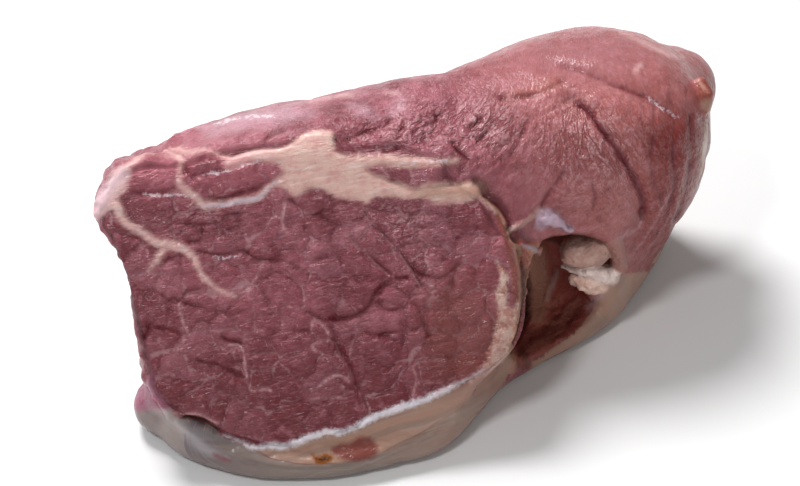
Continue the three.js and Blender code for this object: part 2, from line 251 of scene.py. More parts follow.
LEAN_BACK, TURN_RIGHT = np.radians(FACE["lean_back"]), np.radians(FACE["turn_right"])
FACE_RIGHT = np.array([np.cos(TURN_RIGHT), np.sin(TURN_RIGHT), 0])
FACE_AHEAD = np.array([np.sin(TURN_RIGHT), -np.cos(TURN_RIGHT), 0])
FACE_OUT = np.cos(LEAN_BACK) * FACE_AHEAD + np.sin(LEAN_BACK) * np.array([0, 0, 1])
FACE_UP = np.cross(FACE_OUT, FACE_RIGHT)
rim_outline = Outline(**FACE_RIM)
base_outline = Outline(**BASE_EDGE)


def beyond_face(p):
    return (p - np.array(FACE["point"], float)) @ FACE_OUT


def beyond_rim(p):
    """How far a point is outside the cut face's rim, which is swept straight back, and how far back."""
    depth = beyond_face(p) / FACE_OUT[1]
    swept = p - FACE["point"] - depth[..., None] * np.array([0, 1.0, 0])
    return rim_outline(swept @ FACE_RIGHT, swept @ FACE_UP), np.maximum(depth, 0)


def muscles(p, rim, behind):
    rounded = cut(lobe(p, **BLOCK), beyond(p, **SHOULDER), SHOULDER_ROUND)
    block = cut(rounded, rim - RIM["spread"] * behind - RIM["margin"], RIM["round"])
    left = join(join(block, lobe(p, **CORNER_FAT), FILLET["corner"]), lobe(p, **RIDGE), FILLET["ridge"])
    right = join(lobe(p, **RIGHT_LOBE), lobe(p, **RIGHT_FLANK), FILLET["flank"])
    both = join(join(left, right, FILLET["lobe"]), lobe(p, **CORE), FILLET["core"])
    return join(both, lobe(p, **SINEW_END), FILLET["sinew"])


def walls(p, edge, rim, behind):
    lean = WALL_LEAN["most"] * np.exp(-(((p[..., 0] - WALL_LEAN["at"]) / WALL_LEAN["width"]) ** 2))
    upright = (edge + lean * p[..., 2]) / np.hypot(1, lean)
    capped = cut(upright, p[..., 2] - WALLS["height"], WALLS["round"])
    low = np.maximum(WALL_RELEASE["below"] - p[..., 2], 0)
    inside_rim = rim - WALL_RELEASE["behind_rim"] * behind - WALL_RELEASE["slope"] * low
    return cut(capped, inside_rim, WALL_RELEASE["round"])


def flap(p, edge):
    top = FLAP["thin"] + FLAP["lip"] * np.exp(np.minimum(edge, 0) / FLAP["lip_width"])
    return cut(edge + FLAP["slope"] * p[..., 2], p[..., 2] - top, FLAP["round"])


def tenderloin(p):
    """The whole piece as a signed distance: negative inside, positive outside."""
    rim, behind = beyond_rim(p)
    edge = base_outline(p[..., 0], p[..., 1])
    whole = join(muscles(p, rim, behind), walls(p, edge, rim, behind), FILLET["walls"])
    with_lump = join(whole, lobe(p, **FRONT_LUMP), FILLET["lump"])
    faced = cut(with_lump, beyond_face(p), FACE["round"])
    hollowed = cut(faced, -lobe(p, **RECESS), RECESS_ROUND)
    with_flap = join(hollowed, flap(p, edge), FILLET["flap"])
    with_tag = join(with_flap, string(p, **FAT_TAG), FILLET["tag"])
    return cut(with_tag - relief(p), -p[..., 2], BOARD_ROUND)


def dressed(p):
    """The piece with the shreds of fat and membrane that are too fine for the solid."""
    whole = join(tenderloin(p), lobe(p, **NODULE), SHRED_FILLET)
    for shred in SHREDS.values():
        whole = join(whole, string(p, **shred), SHRED_FILLET)
    return whole


def slopes(distance, p):
    steps = SLOPE_STEP * np.eye(3)
    return np.stack([distance(p + s) - distance(p - s) for s in steps], -1) / (2 * SLOPE_STEP)


def surface_net(distance, low, high, cell):
    """A mesh with one vertex in each cell that the surface crosses."""
    low = np.array(low, float)
    values = sampled(distance, low, high, cell)
    counts = values.shape
    uncross(values)
    sums = np.zeros(tuple(counts) + (3,))
    hits = np.zeros(tuple(counts))
    rings = []
    for axis in range(3):
        size = counts[axis]
        before, after = values.take(range(size - 1), axis), values.take(range(1, size), axis)
        where = np.argwhere((before < 0) != (after < 0))
        a, b = before[tuple(where.T)], after[tuple(where.T)]
        crossing = where + (a / (a - b))[:, None] * np.eye(3)[axis]
        ring = []
        for back in ((0, 0), (1, 0), (1, 1), (0, 1)):
            at = where.copy()
            at[:, (axis + 1) % 3] -= back[0]
            at[:, (axis + 2) % 3] -= back[1]
            np.add.at(sums, tuple(at.T), crossing)
            np.add.at(hits, tuple(at.T), 1)
            ring.append(np.ravel_multi_index(tuple(at.T), tuple(counts)))
        ring = np.stack(ring, -1)
        rings.append(np.where((a < 0)[:, None], ring, ring[:, ::-1]))
    used = np.flatnonzero(hits)
    number = np.full(hits.size, -1)
    number[used] = np.arange(len(used))
    points = low + cell * (sums.reshape(-1, 3)[used] / hits.reshape(-1)[used][:, None])
    quads = number[np.concatenate(rings)]
    across = np.linalg.norm(points[quads[:, 0]] - points[quads[:, 2]], axis=1)
    other = np.linalg.norm(points[quads[:, 1]] - points[quads[:, 3]], axis=1)
    turned = np.where((across <= other)[:, None], quads, np.roll(quads, -1, axis=1))
    return points, np.concatenate([turned[:, [0, 1, 2]], turned[:, [0, 2, 3]]])


def corners(low, cell, counts):
    lines = [low[k] + cell * np.arange(counts[k]) for k in range(3)]
    return np.stack(np.meshgrid(*lines, indexing="ij"), -1)


def sampled(distance, low, high, cell):
    """Distances at the cells' corners, in full near the surface and between coarse steps elsewhere."""
    steps = np.ceil((np.array(high) - low) / (cell * COARSE)).astype(int)
    values = distance(corners(low, cell * COARSE, steps + 1))
    for axis in range(3):
        lines = np.moveaxis(values, axis, 0)
        place = np.arange(steps[axis] * COARSE + 1) / COARSE
        before = np.minimum(place.astype(int), steps[axis] - 1)
        share = (place - before)[:, None, None]
        values = np.moveaxis(lines[before] * (1 - share) + lines[before + 1] * share, 0, axis)
    near = np.abs(values) < NEAR
    values = np.ascontiguousarray(values)
    values[near] = distance(corners(low, cell, values.shape)[near])
    return values


def uncross(values):
    """Where inner corners of a cell's side lie across from each other, the nearest corner changes sides."""
    for first, second in ((0, 1), (1, 2), (2, 0)):
        grid = np.moveaxis(values, (first, second), (0, 1))
        side = np.stack([grid[:-1, :-1], grid[1:, :-1], grid[1:, 1:], grid[:-1, 1:]])
        inner = side < 0
        crossed = np.argwhere((inner[0] == inner[2]) & (inner[1] == inner[3]) & (inner[0] != inner[1]))
        for i, j, k in crossed:
            places = ((i, j, k), (i + 1, j, k), (i + 1, j + 1, k), (i, j + 1, k))
            closest = min(places, key=lambda place: abs(grid[place]))
            grid[closest] *= -1


def edges_of(triangles):
    return np.concatenate([triangles[:, [0, 1]], triangles[:, [1, 2]], triangles[:, [2, 0]]])


def evened(points, triangles, distance, passes):
    """Evens a mesh out, with its vertices kept on the surface."""
    ends = edges_of(triangles)
    for _ in range(passes):
        sums = np.zeros_like(points)
        counts = np.zeros(len(points))
        np.add.at(sums, ends[:, 0], points[ends[:, 1]])
        np.add.at(counts, ends[:, 0], 1)
        points = seated((points + sums / counts[:, None]) / 2, distance)
    return points


def seated(points, distance):
    """The points moved onto the surface."""
    slope = slopes(distance, points)
    step = distance(points) / np.maximum((slope**2).sum(-1), LEAST_SLOPE)
    return points - step[:, None] * slope


def refined(points, triangles, marked):
    """Splits the marked triangles into four, and their neighbours so that no gap opens."""
    ends = np.sort(triangles[:, [[0, 1], [1, 2], [2, 0]]], axis=2)
    keys = ends[..., 0] * len(points) + ends[..., 1]
    split = np.unique(keys[marked])
    at = np.minimum(np.searchsorted(split, keys), len(split) - 1)
    is_split = split[at] == keys
    middle = len(points) + at
    added = (points[split // len(points)] + points[split % len(points)]) / 2
    count = is_split.sum(1)
    pieces = [triangles[count == 0]]
    t, m = triangles[count == 3], middle[count == 3]
    for k in range(3):
        pieces.append(np.stack([t[:, k], m[:, k], m[:, k - 1]], -1))
    pieces.append(m)
    for k in range(3):
        second, third = (k + 1) % 3, (k + 2) % 3
        one = (count == 1) & is_split[:, k]
        t, m = triangles[one], middle[one]
        pieces.append(np.stack([t[:, k], m[:, k], t[:, third]], -1))
        pieces.append(np.stack([m[:, k], t[:, second], t[:, third]], -1))
        two = (count == 2) & ~is_split[:, k]
        t, m = triangles[two], middle[two]
        pieces.append(np.stack([t[:, third], m[:, third], m[:, second]], -1))
        pieces.append(np.stack([t[:, k], t[:, second], m[:, second]], -1))
        pieces.append(np.stack([t[:, k], m[:, second], m[:, third]], -1))
    return np.concatenate([points, added]), np.concatenate(pieces)


# The camera's own axes, and where it stands.
TILT = np.radians(ELEVATION)
TOWARDS_CAMERA = np.array([0, -np.cos(TILT), np.sin(TILT)])
CAMERA_UP = np.array([0, np.sin(TILT), np.cos(TILT)])
CAMERA_AT = np.array(TARGET) + DISTANCE * TOWARDS_CAMERA
FOCAL = LENS / SENSOR * PICTURE["width"]


def pictured(p):
    """Where points come in the picture, in pixels from its top left corner."""
    from_camera = p - CAMERA_AT
    scale = FOCAL / -(from_camera @ TOWARDS_CAMERA)
    across = PICTURE["width"] / 2 + from_camera[:, 0] * scale
    down = PICTURE["height"] / 2 - from_camera @ CAMERA_UP * scale
    return np.stack([across, down], -1)


def clamped(value, low, high):
    """Rises smoothly from 0 to 1 between low and high, or falls where low is the higher."""
    share = np.clip((value - low) / (high - low), 0, 1)
    return share * share * (3 - 2 * share)


def in_sight(p, normals, distance):
    """1 where the camera sees the surface, and 0 where it is turned away or hidden."""
    ray = unit(CAMERA_AT - p)
    facing = clamped((normals * ray).sum(-1), *SIGHT["facing"])
    clear = np.ones(len(p))
    looked = np.flatnonzero(facing > 0)
    for away in SIGHT["steps"]:
        inside = distance(p[looked] + away * ray[looked])
        clear[looked] = np.minimum(clear[looked], clamped(inside, *SIGHT["inside"]))
    return facing * clear


def lattice_noise(p, seed):
    """Smooth noise between about -1 and 1, with features one unit apart."""
    rng = np.random.default_rng(seed)
    table = rng.uniform(-1, 1, NOISE_VALUES)
    cell = np.floor(p).astype(np.int64)
    share = p - cell
    share = share * share * (3 - 2 * share)
    total = np.zeros(len(p))
    for corner in np.ndindex(2, 2, 2):
        across, back, up = ((cell + np.array(corner)) * NOISE_FACTORS).T
        picked = table[(across ^ back ^ up) % NOISE_VALUES]
        total += picked * np.prod(np.where(np.array(corner), share, 1 - share), axis=1)
    return total


def layered_noise(p, size, seed, layers=3):
    """Noise with features about size apart and finer ones on top."""
    return sum(lattice_noise(p / size * 2**k, seed + k) / 2**k for k in range(layers))


# What the picture shows on the piece, in its pixels. A shape is a function that says how deep inside
# it each spot of the picture is, in pixels, with a negative depth outside.
CURVE_STEPS = 4
REACH = 40


def within_reach(spots, points):
    low, high = np.min(points, axis=0) - REACH, np.max(points, axis=0) + REACH
    return np.flatnonzero(((spots > low) & (spots < high)).all(-1))


def strip(line, *half_widths):
    """A smooth line with a half width at every point."""
    dense = smooth_curve(np.column_stack([line, half_widths]), CURVE_STEPS)

    def depth_at(spots):
        depth = np.full(len(spots), -float(REACH))
        here = within_reach(spots, dense[:, :2])
        distance, i, share = nearest(spots[here], dense[:, :2])
        half_width = dense[i, 2] + (dense[i + 1, 2] - dense[i, 2]) * share
        depth[here] = np.maximum(half_width - distance, -REACH)
        return depth

    return depth_at


def patch(points):
    """A smooth closed outline."""
    dense = smooth_curve(points, CURVE_STEPS, closed=True)

    def depth_at(spots):
        depth = np.full(len(spots), -float(REACH))
        here = within_reach(spots, dense)
        x, y = spots[here].T
        inside = np.zeros(len(here), bool)
        for (x0, y0), (x1, y1) in zip(dense, np.roll(dense, -1, axis=0)):
            if y0 != y1:
                inside ^= ((y0 > y) != (y1 > y)) & (x < x0 + (y - y0) / (y1 - y0) * (x1 - x0))
        distance = nearest(spots[here], np.concatenate([dense, dense[:1]]))[0]
        depth[here] = np.where(inside, distance, -distance)
        return depth

    return depth_at


def oval(middle, radii):
    return lambda spots: (1 - np.linalg.norm((spots - middle) / radii, axis=-1)) * min(radii)


def depth_in(spots, shapes):
    """How deep inside any of the shapes each spot is."""
    return np.max([shape(spots) for shape in shapes], axis=0)


def traced(points, deep=0, pale=0, wide=1.3):
    """A groove: how deep in millimetres, how strongly the pale membrane beside it shows, and how wide."""
    return dict(curve=smooth_curve(points, CURVE_STEPS), deep=deep, pale=pale, wide=wide)


def coloured_place(colour, shows, soft, *shapes, rough=0.8):
    """A place of another linear colour, how strongly it shows, and its edge: how soft and how ragged."""
    return dict(colour=colour, shows=shows, soft=soft, shapes=shapes, rough=rough)


FAT = [
    strip([(128, 168), (141, 158), (149, 153), (162, 151), (176, 154), (181, 158)], 3, 2.5, 2, 2, 2.2, 3),
    strip([(181, 157), (180, 169), (179, 181), (183, 189), (194, 196), (203, 205)], 1.2, 2, 3, 4, 3.5, 4),
    strip([(203, 205), (213, 204), (227, 203), (243, 200), (259, 196), (268, 188), (277, 181)],
        4, 3, 2.2, 2.4, 2.6, 2.2, 3),
    strip([(170, 148), (190, 149), (210, 151), (222, 156), (232, 158)], 0.8, 1, 1, 1.4, 2.5),
    strip([(115, 205), (125, 223), (141, 232), (154, 241), (168, 245), (180, 247)],
        5, 3, 2.8, 3.6, 4.2, 3.6),
    strip([(180, 247), (192, 257), (200, 271), (210, 283), (223, 292), (235, 296)],
        3.6, 3, 2.4, 2, 1.6, 0.8),
    strip([(164, 249), (156, 261), (147, 271)], 2.6, 1.6, 0.6),
    patch([(90, 222), (96, 202), (110, 176), (128, 164), (142, 157), (139, 163), (130, 172), (128, 187),
        (117, 198), (115, 207), (106, 213), (100, 217)]),
    patch([(226, 159), (231, 156), (259, 149), (284, 148), (304, 134), (330, 131), (333, 141), (334, 150),
        (346, 155), (365, 156), (391, 156), (409, 157), (434, 160), (456, 159), (458, 163), (434, 166),
        (405, 167), (380, 165), (369, 168), (365, 171), (385, 178), (391, 183), (401, 184), (416, 189),
        (428, 184), (458, 183), (480, 183), (483, 195), (458, 202), (435, 203), (426, 198), (405, 198),
        (387, 195), (373, 197), (366, 204), (358, 199), (339, 197), (330, 192), (312, 187), (296, 195),
        (287, 190), (276, 184), (275, 179), (284, 171), (276, 164), (254, 162), (227, 169)]),
]
RIM_FAT = [
    strip([(483, 198), (492, 206), (498, 214)], 3, 2.5, 1.5),
    strip([(498, 262), (503, 274), (504, 290)], 1.2, 4, 4),
    patch([(495, 288), (501, 286), (506, 295), (508, 308), (514, 306), (520, 298), (520, 310), (516, 332),
        (510, 350), (498, 364), (480, 377), (470, 384), (470, 378), (484, 362), (491, 342), (497, 318),
        (497, 304)]),
]
# The thin borders of the muscle bundles, then wider creases.
BORDERS = [
    traced([(165, 305), (174, 298), (180, 301), (187, 292), (192, 291), (207, 286)], deep=0.35, pale=0.3),
    traced([(180, 301), (192, 306), (202, 307), (213, 311), (225, 311), (233, 314), (250, 309)], deep=0.45),
    traced([(182, 301), (180, 307), (181, 314), (186, 327), (188, 332), (185, 338), (184, 344), (179, 348),
        (176, 354)], deep=0.2, pale=1),
    traced([(253, 292), (254, 318), (255, 330), (247, 334), (244, 344)], deep=0.15, pale=0.25),
    traced([(166, 223), (192, 224), (220, 222), (225, 215), (244, 215)], deep=0.35, pale=0.2),
    traced([(189, 229), (199, 224), (202, 232), (198, 241), (181, 240)], deep=0.35, pale=0.2),
    traced([(190, 250), (212, 254), (230, 253), (243, 250), (257, 259), (286, 261), (308, 277)],
        deep=0.4, pale=0.2),
    traced([(286, 228), (298, 222), (310, 214)], deep=0.3, pale=0.2),
    traced([(286, 197), (302, 208), (310, 214), (318, 214), (328, 204)], deep=0.45, pale=0.4),
    traced([(225, 292), (248, 288), (263, 261)], deep=0.1, pale=0.6),
    traced([(110, 232), (135, 237), (155, 249), (161, 251)], deep=0.35, pale=0.2),
    traced([(310, 209), (318, 213), (337, 226), (359, 246), (383, 267), (394, 277)], deep=0.4, pale=0.7),
    traced([(362, 206), (366, 216), (377, 226), (394, 245), (408, 263), (417, 278), (426, 296)],
        deep=0.35, pale=0.8),
    traced([(318, 214), (334, 226), (351, 221), (363, 218)], deep=0.3),
    traced([(363, 247), (377, 253), (394, 250), (411, 243), (435, 242)], deep=0.25, pale=0.3),
    traced([(412, 260), (422, 249), (435, 243), (450, 250), (459, 259)], deep=0.25, pale=0.7),
    traced([(414, 260), (415, 271), (436, 277), (452, 270), (459, 259)], deep=0.4),
    traced([(459, 256), (474, 242), (481, 233)], deep=0.2, pale=0.5),
    traced([(452, 271), (452, 303), (447, 309), (431, 309), (422, 303)], deep=0.4, pale=0.3),
    traced([(447, 310), (454, 318), (458, 323), (456, 334)], deep=0.35, pale=0.4),
    traced([(394, 277), (408, 277)], deep=0.45),
    traced([(394, 277), (377, 291), (372, 300), (365, 309), (350, 316), (327, 318), (310, 314)], deep=0.65),
    traced([(376, 299), (383, 308), (394, 309), (407, 303), (411, 292)], deep=0.4),
    traced([(310, 259), (345, 254), (366, 256)], deep=0.3),
    traced([(408, 298), (417, 306), (421, 315), (427, 333), (430, 342), (431, 350)], deep=0.5, pale=0.2),
    traced([(376, 336), (384, 333), (402, 330), (403, 326), (399, 319)], deep=0.45),
    traced([(402, 330), (402, 343), (395, 361), (387, 371)], deep=0.35),
    traced([(357, 319), (357, 329), (355, 336), (350, 358)], deep=0.2, pale=0.5),
    traced([(314, 319), (320, 322), (327, 329), (330, 338), (321, 341), (312, 346), (317, 352)],
        deep=0.1, pale=0.8),
    traced([(367, 201), (372, 208), (390, 212), (411, 215), (410, 226), (429, 226), (450, 222)],
        deep=0.3, pale=0.3),
    traced([(188, 333), (201, 331), (217, 330), (227, 327), (241, 332)], deep=0.25, pale=0.5),
    traced([(219, 334), (227, 340), (236, 341), (242, 345)], deep=0.45),
    traced([(225, 347), (228, 344), (233, 344), (240, 345), (245, 352)], deep=0.2, pale=0.9),
    traced([(245, 352), (245, 361), (247, 379), (249, 386), (252, 391), (265, 389), (272, 391)],
        deep=0.15, pale=1),
    traced([(247, 352), (258, 352), (277, 351), (287, 356), (296, 356)], deep=0.3, pale=0.4),
    traced([(258, 401), (264, 409), (269, 416)], pale=0.4),
    traced([(284, 331), (292, 329), (301, 331), (312, 331)], deep=0.4),
    traced([(305, 310), (312, 314), (320, 317), (329, 318)], deep=0.4, pale=0.2),
    traced([(270, 374), (288, 374)], deep=0.3),
    traced([(224, 364), (243, 361)], deep=0.3),
    traced([(316, 388), (328, 379), (335, 376), (343, 377), (351, 383)], pale=0.6),
    traced([(310, 399), (323, 398), (332, 399), (348, 396)], pale=0.4),
    traced([(445, 356), (450, 355), (458, 352), (463, 351)], deep=0.4),
    traced([(443, 358), (431, 361), (421, 364), (415, 366), (417, 379), (415, 389), (413, 398)],
        deep=0.2, pale=0.7),
    traced([(418, 380), (431, 382), (444, 383)], pale=0.4),
    traced([(153, 327), (163, 327), (172, 330), (180, 334)], deep=0.35),
    traced([(152, 323), (147, 333), (144, 340)], deep=0.6),
    traced([(159, 396), (164, 403), (169, 409), (182, 413), (200, 413), (212, 419), (220, 424)],
        deep=0.2, pale=0.9),
    traced([(193, 359), (209, 364), (218, 365), (232, 372), (240, 376), (245, 379)], deep=0.65, pale=0.3),
    traced([(329, 337), (336, 341), (341, 351), (351, 369), (356, 384), (361, 392), (366, 410)],
        deep=0.6, pale=0.5),
    traced([(127, 283), (130, 274), (148, 273), (170, 273)], deep=0.2, pale=0.5),
    traced([(284, 202), (282, 220), (284, 230)], pale=0.9),
    traced([(365, 151), (376, 162), (389, 178)], pale=1),
    traced([(400, 157), (409, 168), (414, 181), (416, 186)], pale=0.9),
    traced([(616, 238), (627, 234), (639, 228), (641, 218)], deep=0.2, pale=1),
    traced([(672, 192), (660, 215), (645, 240), (630, 258)], deep=0.15, pale=0.6),
    traced([(680, 200), (664, 228), (648, 252)], deep=0.15, pale=0.5),
    traced([(249, 449), (260, 452), (271, 457), (279, 460), (296, 463), (312, 464), (345, 462)], deep=0.4),
    traced([(382, 453), (397, 445), (410, 439), (425, 430), (438, 422), (457, 411), (473, 399)], deep=0.25),
    traced([(531, 341), (540, 335), (552, 330), (565, 322), (572, 318)], pale=0.8),
    traced([(556, 302), (565, 296), (574, 293)], pale=0.5),
]
CREASES = [
    traced([(190, 177), (205, 174), (224, 168)], deep=0.4, wide=1.6),
    traced([(201, 200), (222, 199), (243, 192), (262, 185), (278, 178)], deep=0.7, wide=1.8),
    traced([(183, 159), (184, 168), (187, 176)], deep=0.5, wide=1.4),
    traced([(130, 190), (150, 193), (168, 191), (176, 186)], deep=0.5, wide=2),
    traced([(211, 149), (223, 155), (240, 152), (260, 148), (284, 146), (304, 134)], deep=0.35, wide=1.6),
    traced([(262, 147), (266, 139), (275, 132), (290, 127)], deep=0.45, wide=1.6),
    traced([(353, 136), (368, 130), (382, 124), (389, 119), (390, 114)], deep=0.42, wide=1.3),
    traced([(334, 138), (342, 140), (352, 138)], deep=0.5, wide=1.6),
    traced([(359, 146), (372, 147), (384, 146)], deep=0.25, wide=1.2),
    traced([(436, 113), (437, 119), (430, 127), (427, 137), (422, 147)], deep=0.4, wide=1.1),
    traced([(458, 109), (449, 121), (447, 126)], deep=0.35, wide=1.1),
    traced([(482, 116), (477, 122), (470, 127)], deep=0.5, wide=1.4),
    traced([(493, 121), (486, 134), (477, 142)], deep=0.4, wide=1.1),
    traced([(531, 116), (526, 126), (517, 142), (509, 158)], deep=0.32, wide=1.1),
    traced([(454, 139), (456, 146), (463, 154), (472, 161)], deep=0.6, wide=1.6),
    traced([(400, 147), (393, 152), (381, 152)], deep=0.5, wide=1.5),
    traced([(408, 118), (400, 128), (395, 140)], deep=0.35, wide=1.5),
    traced([(473, 179), (482, 185), (488, 196), (500, 205), (509, 219), (514, 232)], deep=0.9, wide=4),
    traced([(496, 98), (510, 98), (527, 96), (541, 92), (550, 88), (568, 78)], deep=0.6, wide=1.8),
    traced([(573, 101), (588, 110), (600, 127), (616, 148), (629, 168), (638, 187), (644, 207), (641, 222)],
        deep=0.85, wide=3),
    traced([(556, 65), (582, 71), (608, 82), (632, 92), (654, 102), (677, 120)], deep=0.28, wide=1.4),
    traced([(567, 167), (553, 188), (541, 207), (533, 216)], deep=0.4, wide=1.8),
    traced([(590, 180), (596, 196), (592, 212)], deep=0.25, wide=2),
    traced([(365, 172), (385, 180), (401, 186), (416, 191), (430, 186), (458, 185), (472, 182)],
        deep=0.5, wide=1.4),
    traced([(183, 418), (197, 421), (211, 428), (218, 434)], deep=0.9, wide=2.6),
    traced([(655, 130), (652, 170), (662, 205)], deep=0.35, wide=3),
    traced([(672, 140), (676, 175), (668, 215), (650, 250)], deep=0.35, wide=2.4),
    traced([(690, 110), (693, 150), (688, 190), (672, 232)], deep=0.35, wide=2),
]
# The white cut edge of the silverskin, the run of points under it, and the bounds of the silverskin.
WHITE_RIM = [
    strip([(223, 436), (241, 443), (258, 448), (271, 445), (281, 447), (304, 439), (326, 432), (341, 432),
        (356, 426), (373, 418), (394, 409), (425, 399), (447, 389), (469, 378), (486, 366)],
        0.8, 1, 2, 3.2, 3, 3.4, 3, 3, 3.2, 3.6, 3.6, 3.2, 2.6, 1.6, 1),
]
UNDER_RIM = [
    (271, 445), (281, 448), (304, 439), (326, 431), (341, 433), (356, 426), (373, 418), (394, 409),
    (425, 399), (447, 389), (469, 381), (488, 368),
]
SKIN = [
    patch([(140, 404), (156, 408), (168, 408), (180, 417), (212, 425), (218, 433), (227, 440), (258, 448),
        *UNDER_RIM, (508, 352), (512, 356), (510, 372), (496, 396), (460, 436), (400, 470), (330, 490),
        (240, 490), (160, 460), (132, 420)]),
    patch([(655, 268), (641, 272), (621, 273), (615, 281), (604, 288), (596, 298), (590, 310), (582, 322),
        (574, 334), (560, 344), (541, 358), (530, 368), (540, 384), (580, 356), (640, 306), (676, 262)]),
    patch([(709, 106), (706, 122), (703, 150), (700, 178), (692, 204), (681, 230), (668, 250), (655, 268),
        (676, 262), (712, 190), (724, 110)]),
]
# The peach part of the silverskin, above the thin dark line of painted shade along it, and the pink lump on
# the left.
PEACH = [
    patch([(250, 448), *UNDER_RIM, (502, 376), (473, 399), (457, 411), (438, 422), (410, 439), (382, 453),
        (345, 462), (312, 464), (279, 460), (260, 452)]),
]
LUMP = [
    patch([(152, 372), (141, 388), (132, 404), (136, 412), (148, 410), (160, 409), (168, 408), (162, 397),
        (155, 386)]),
]
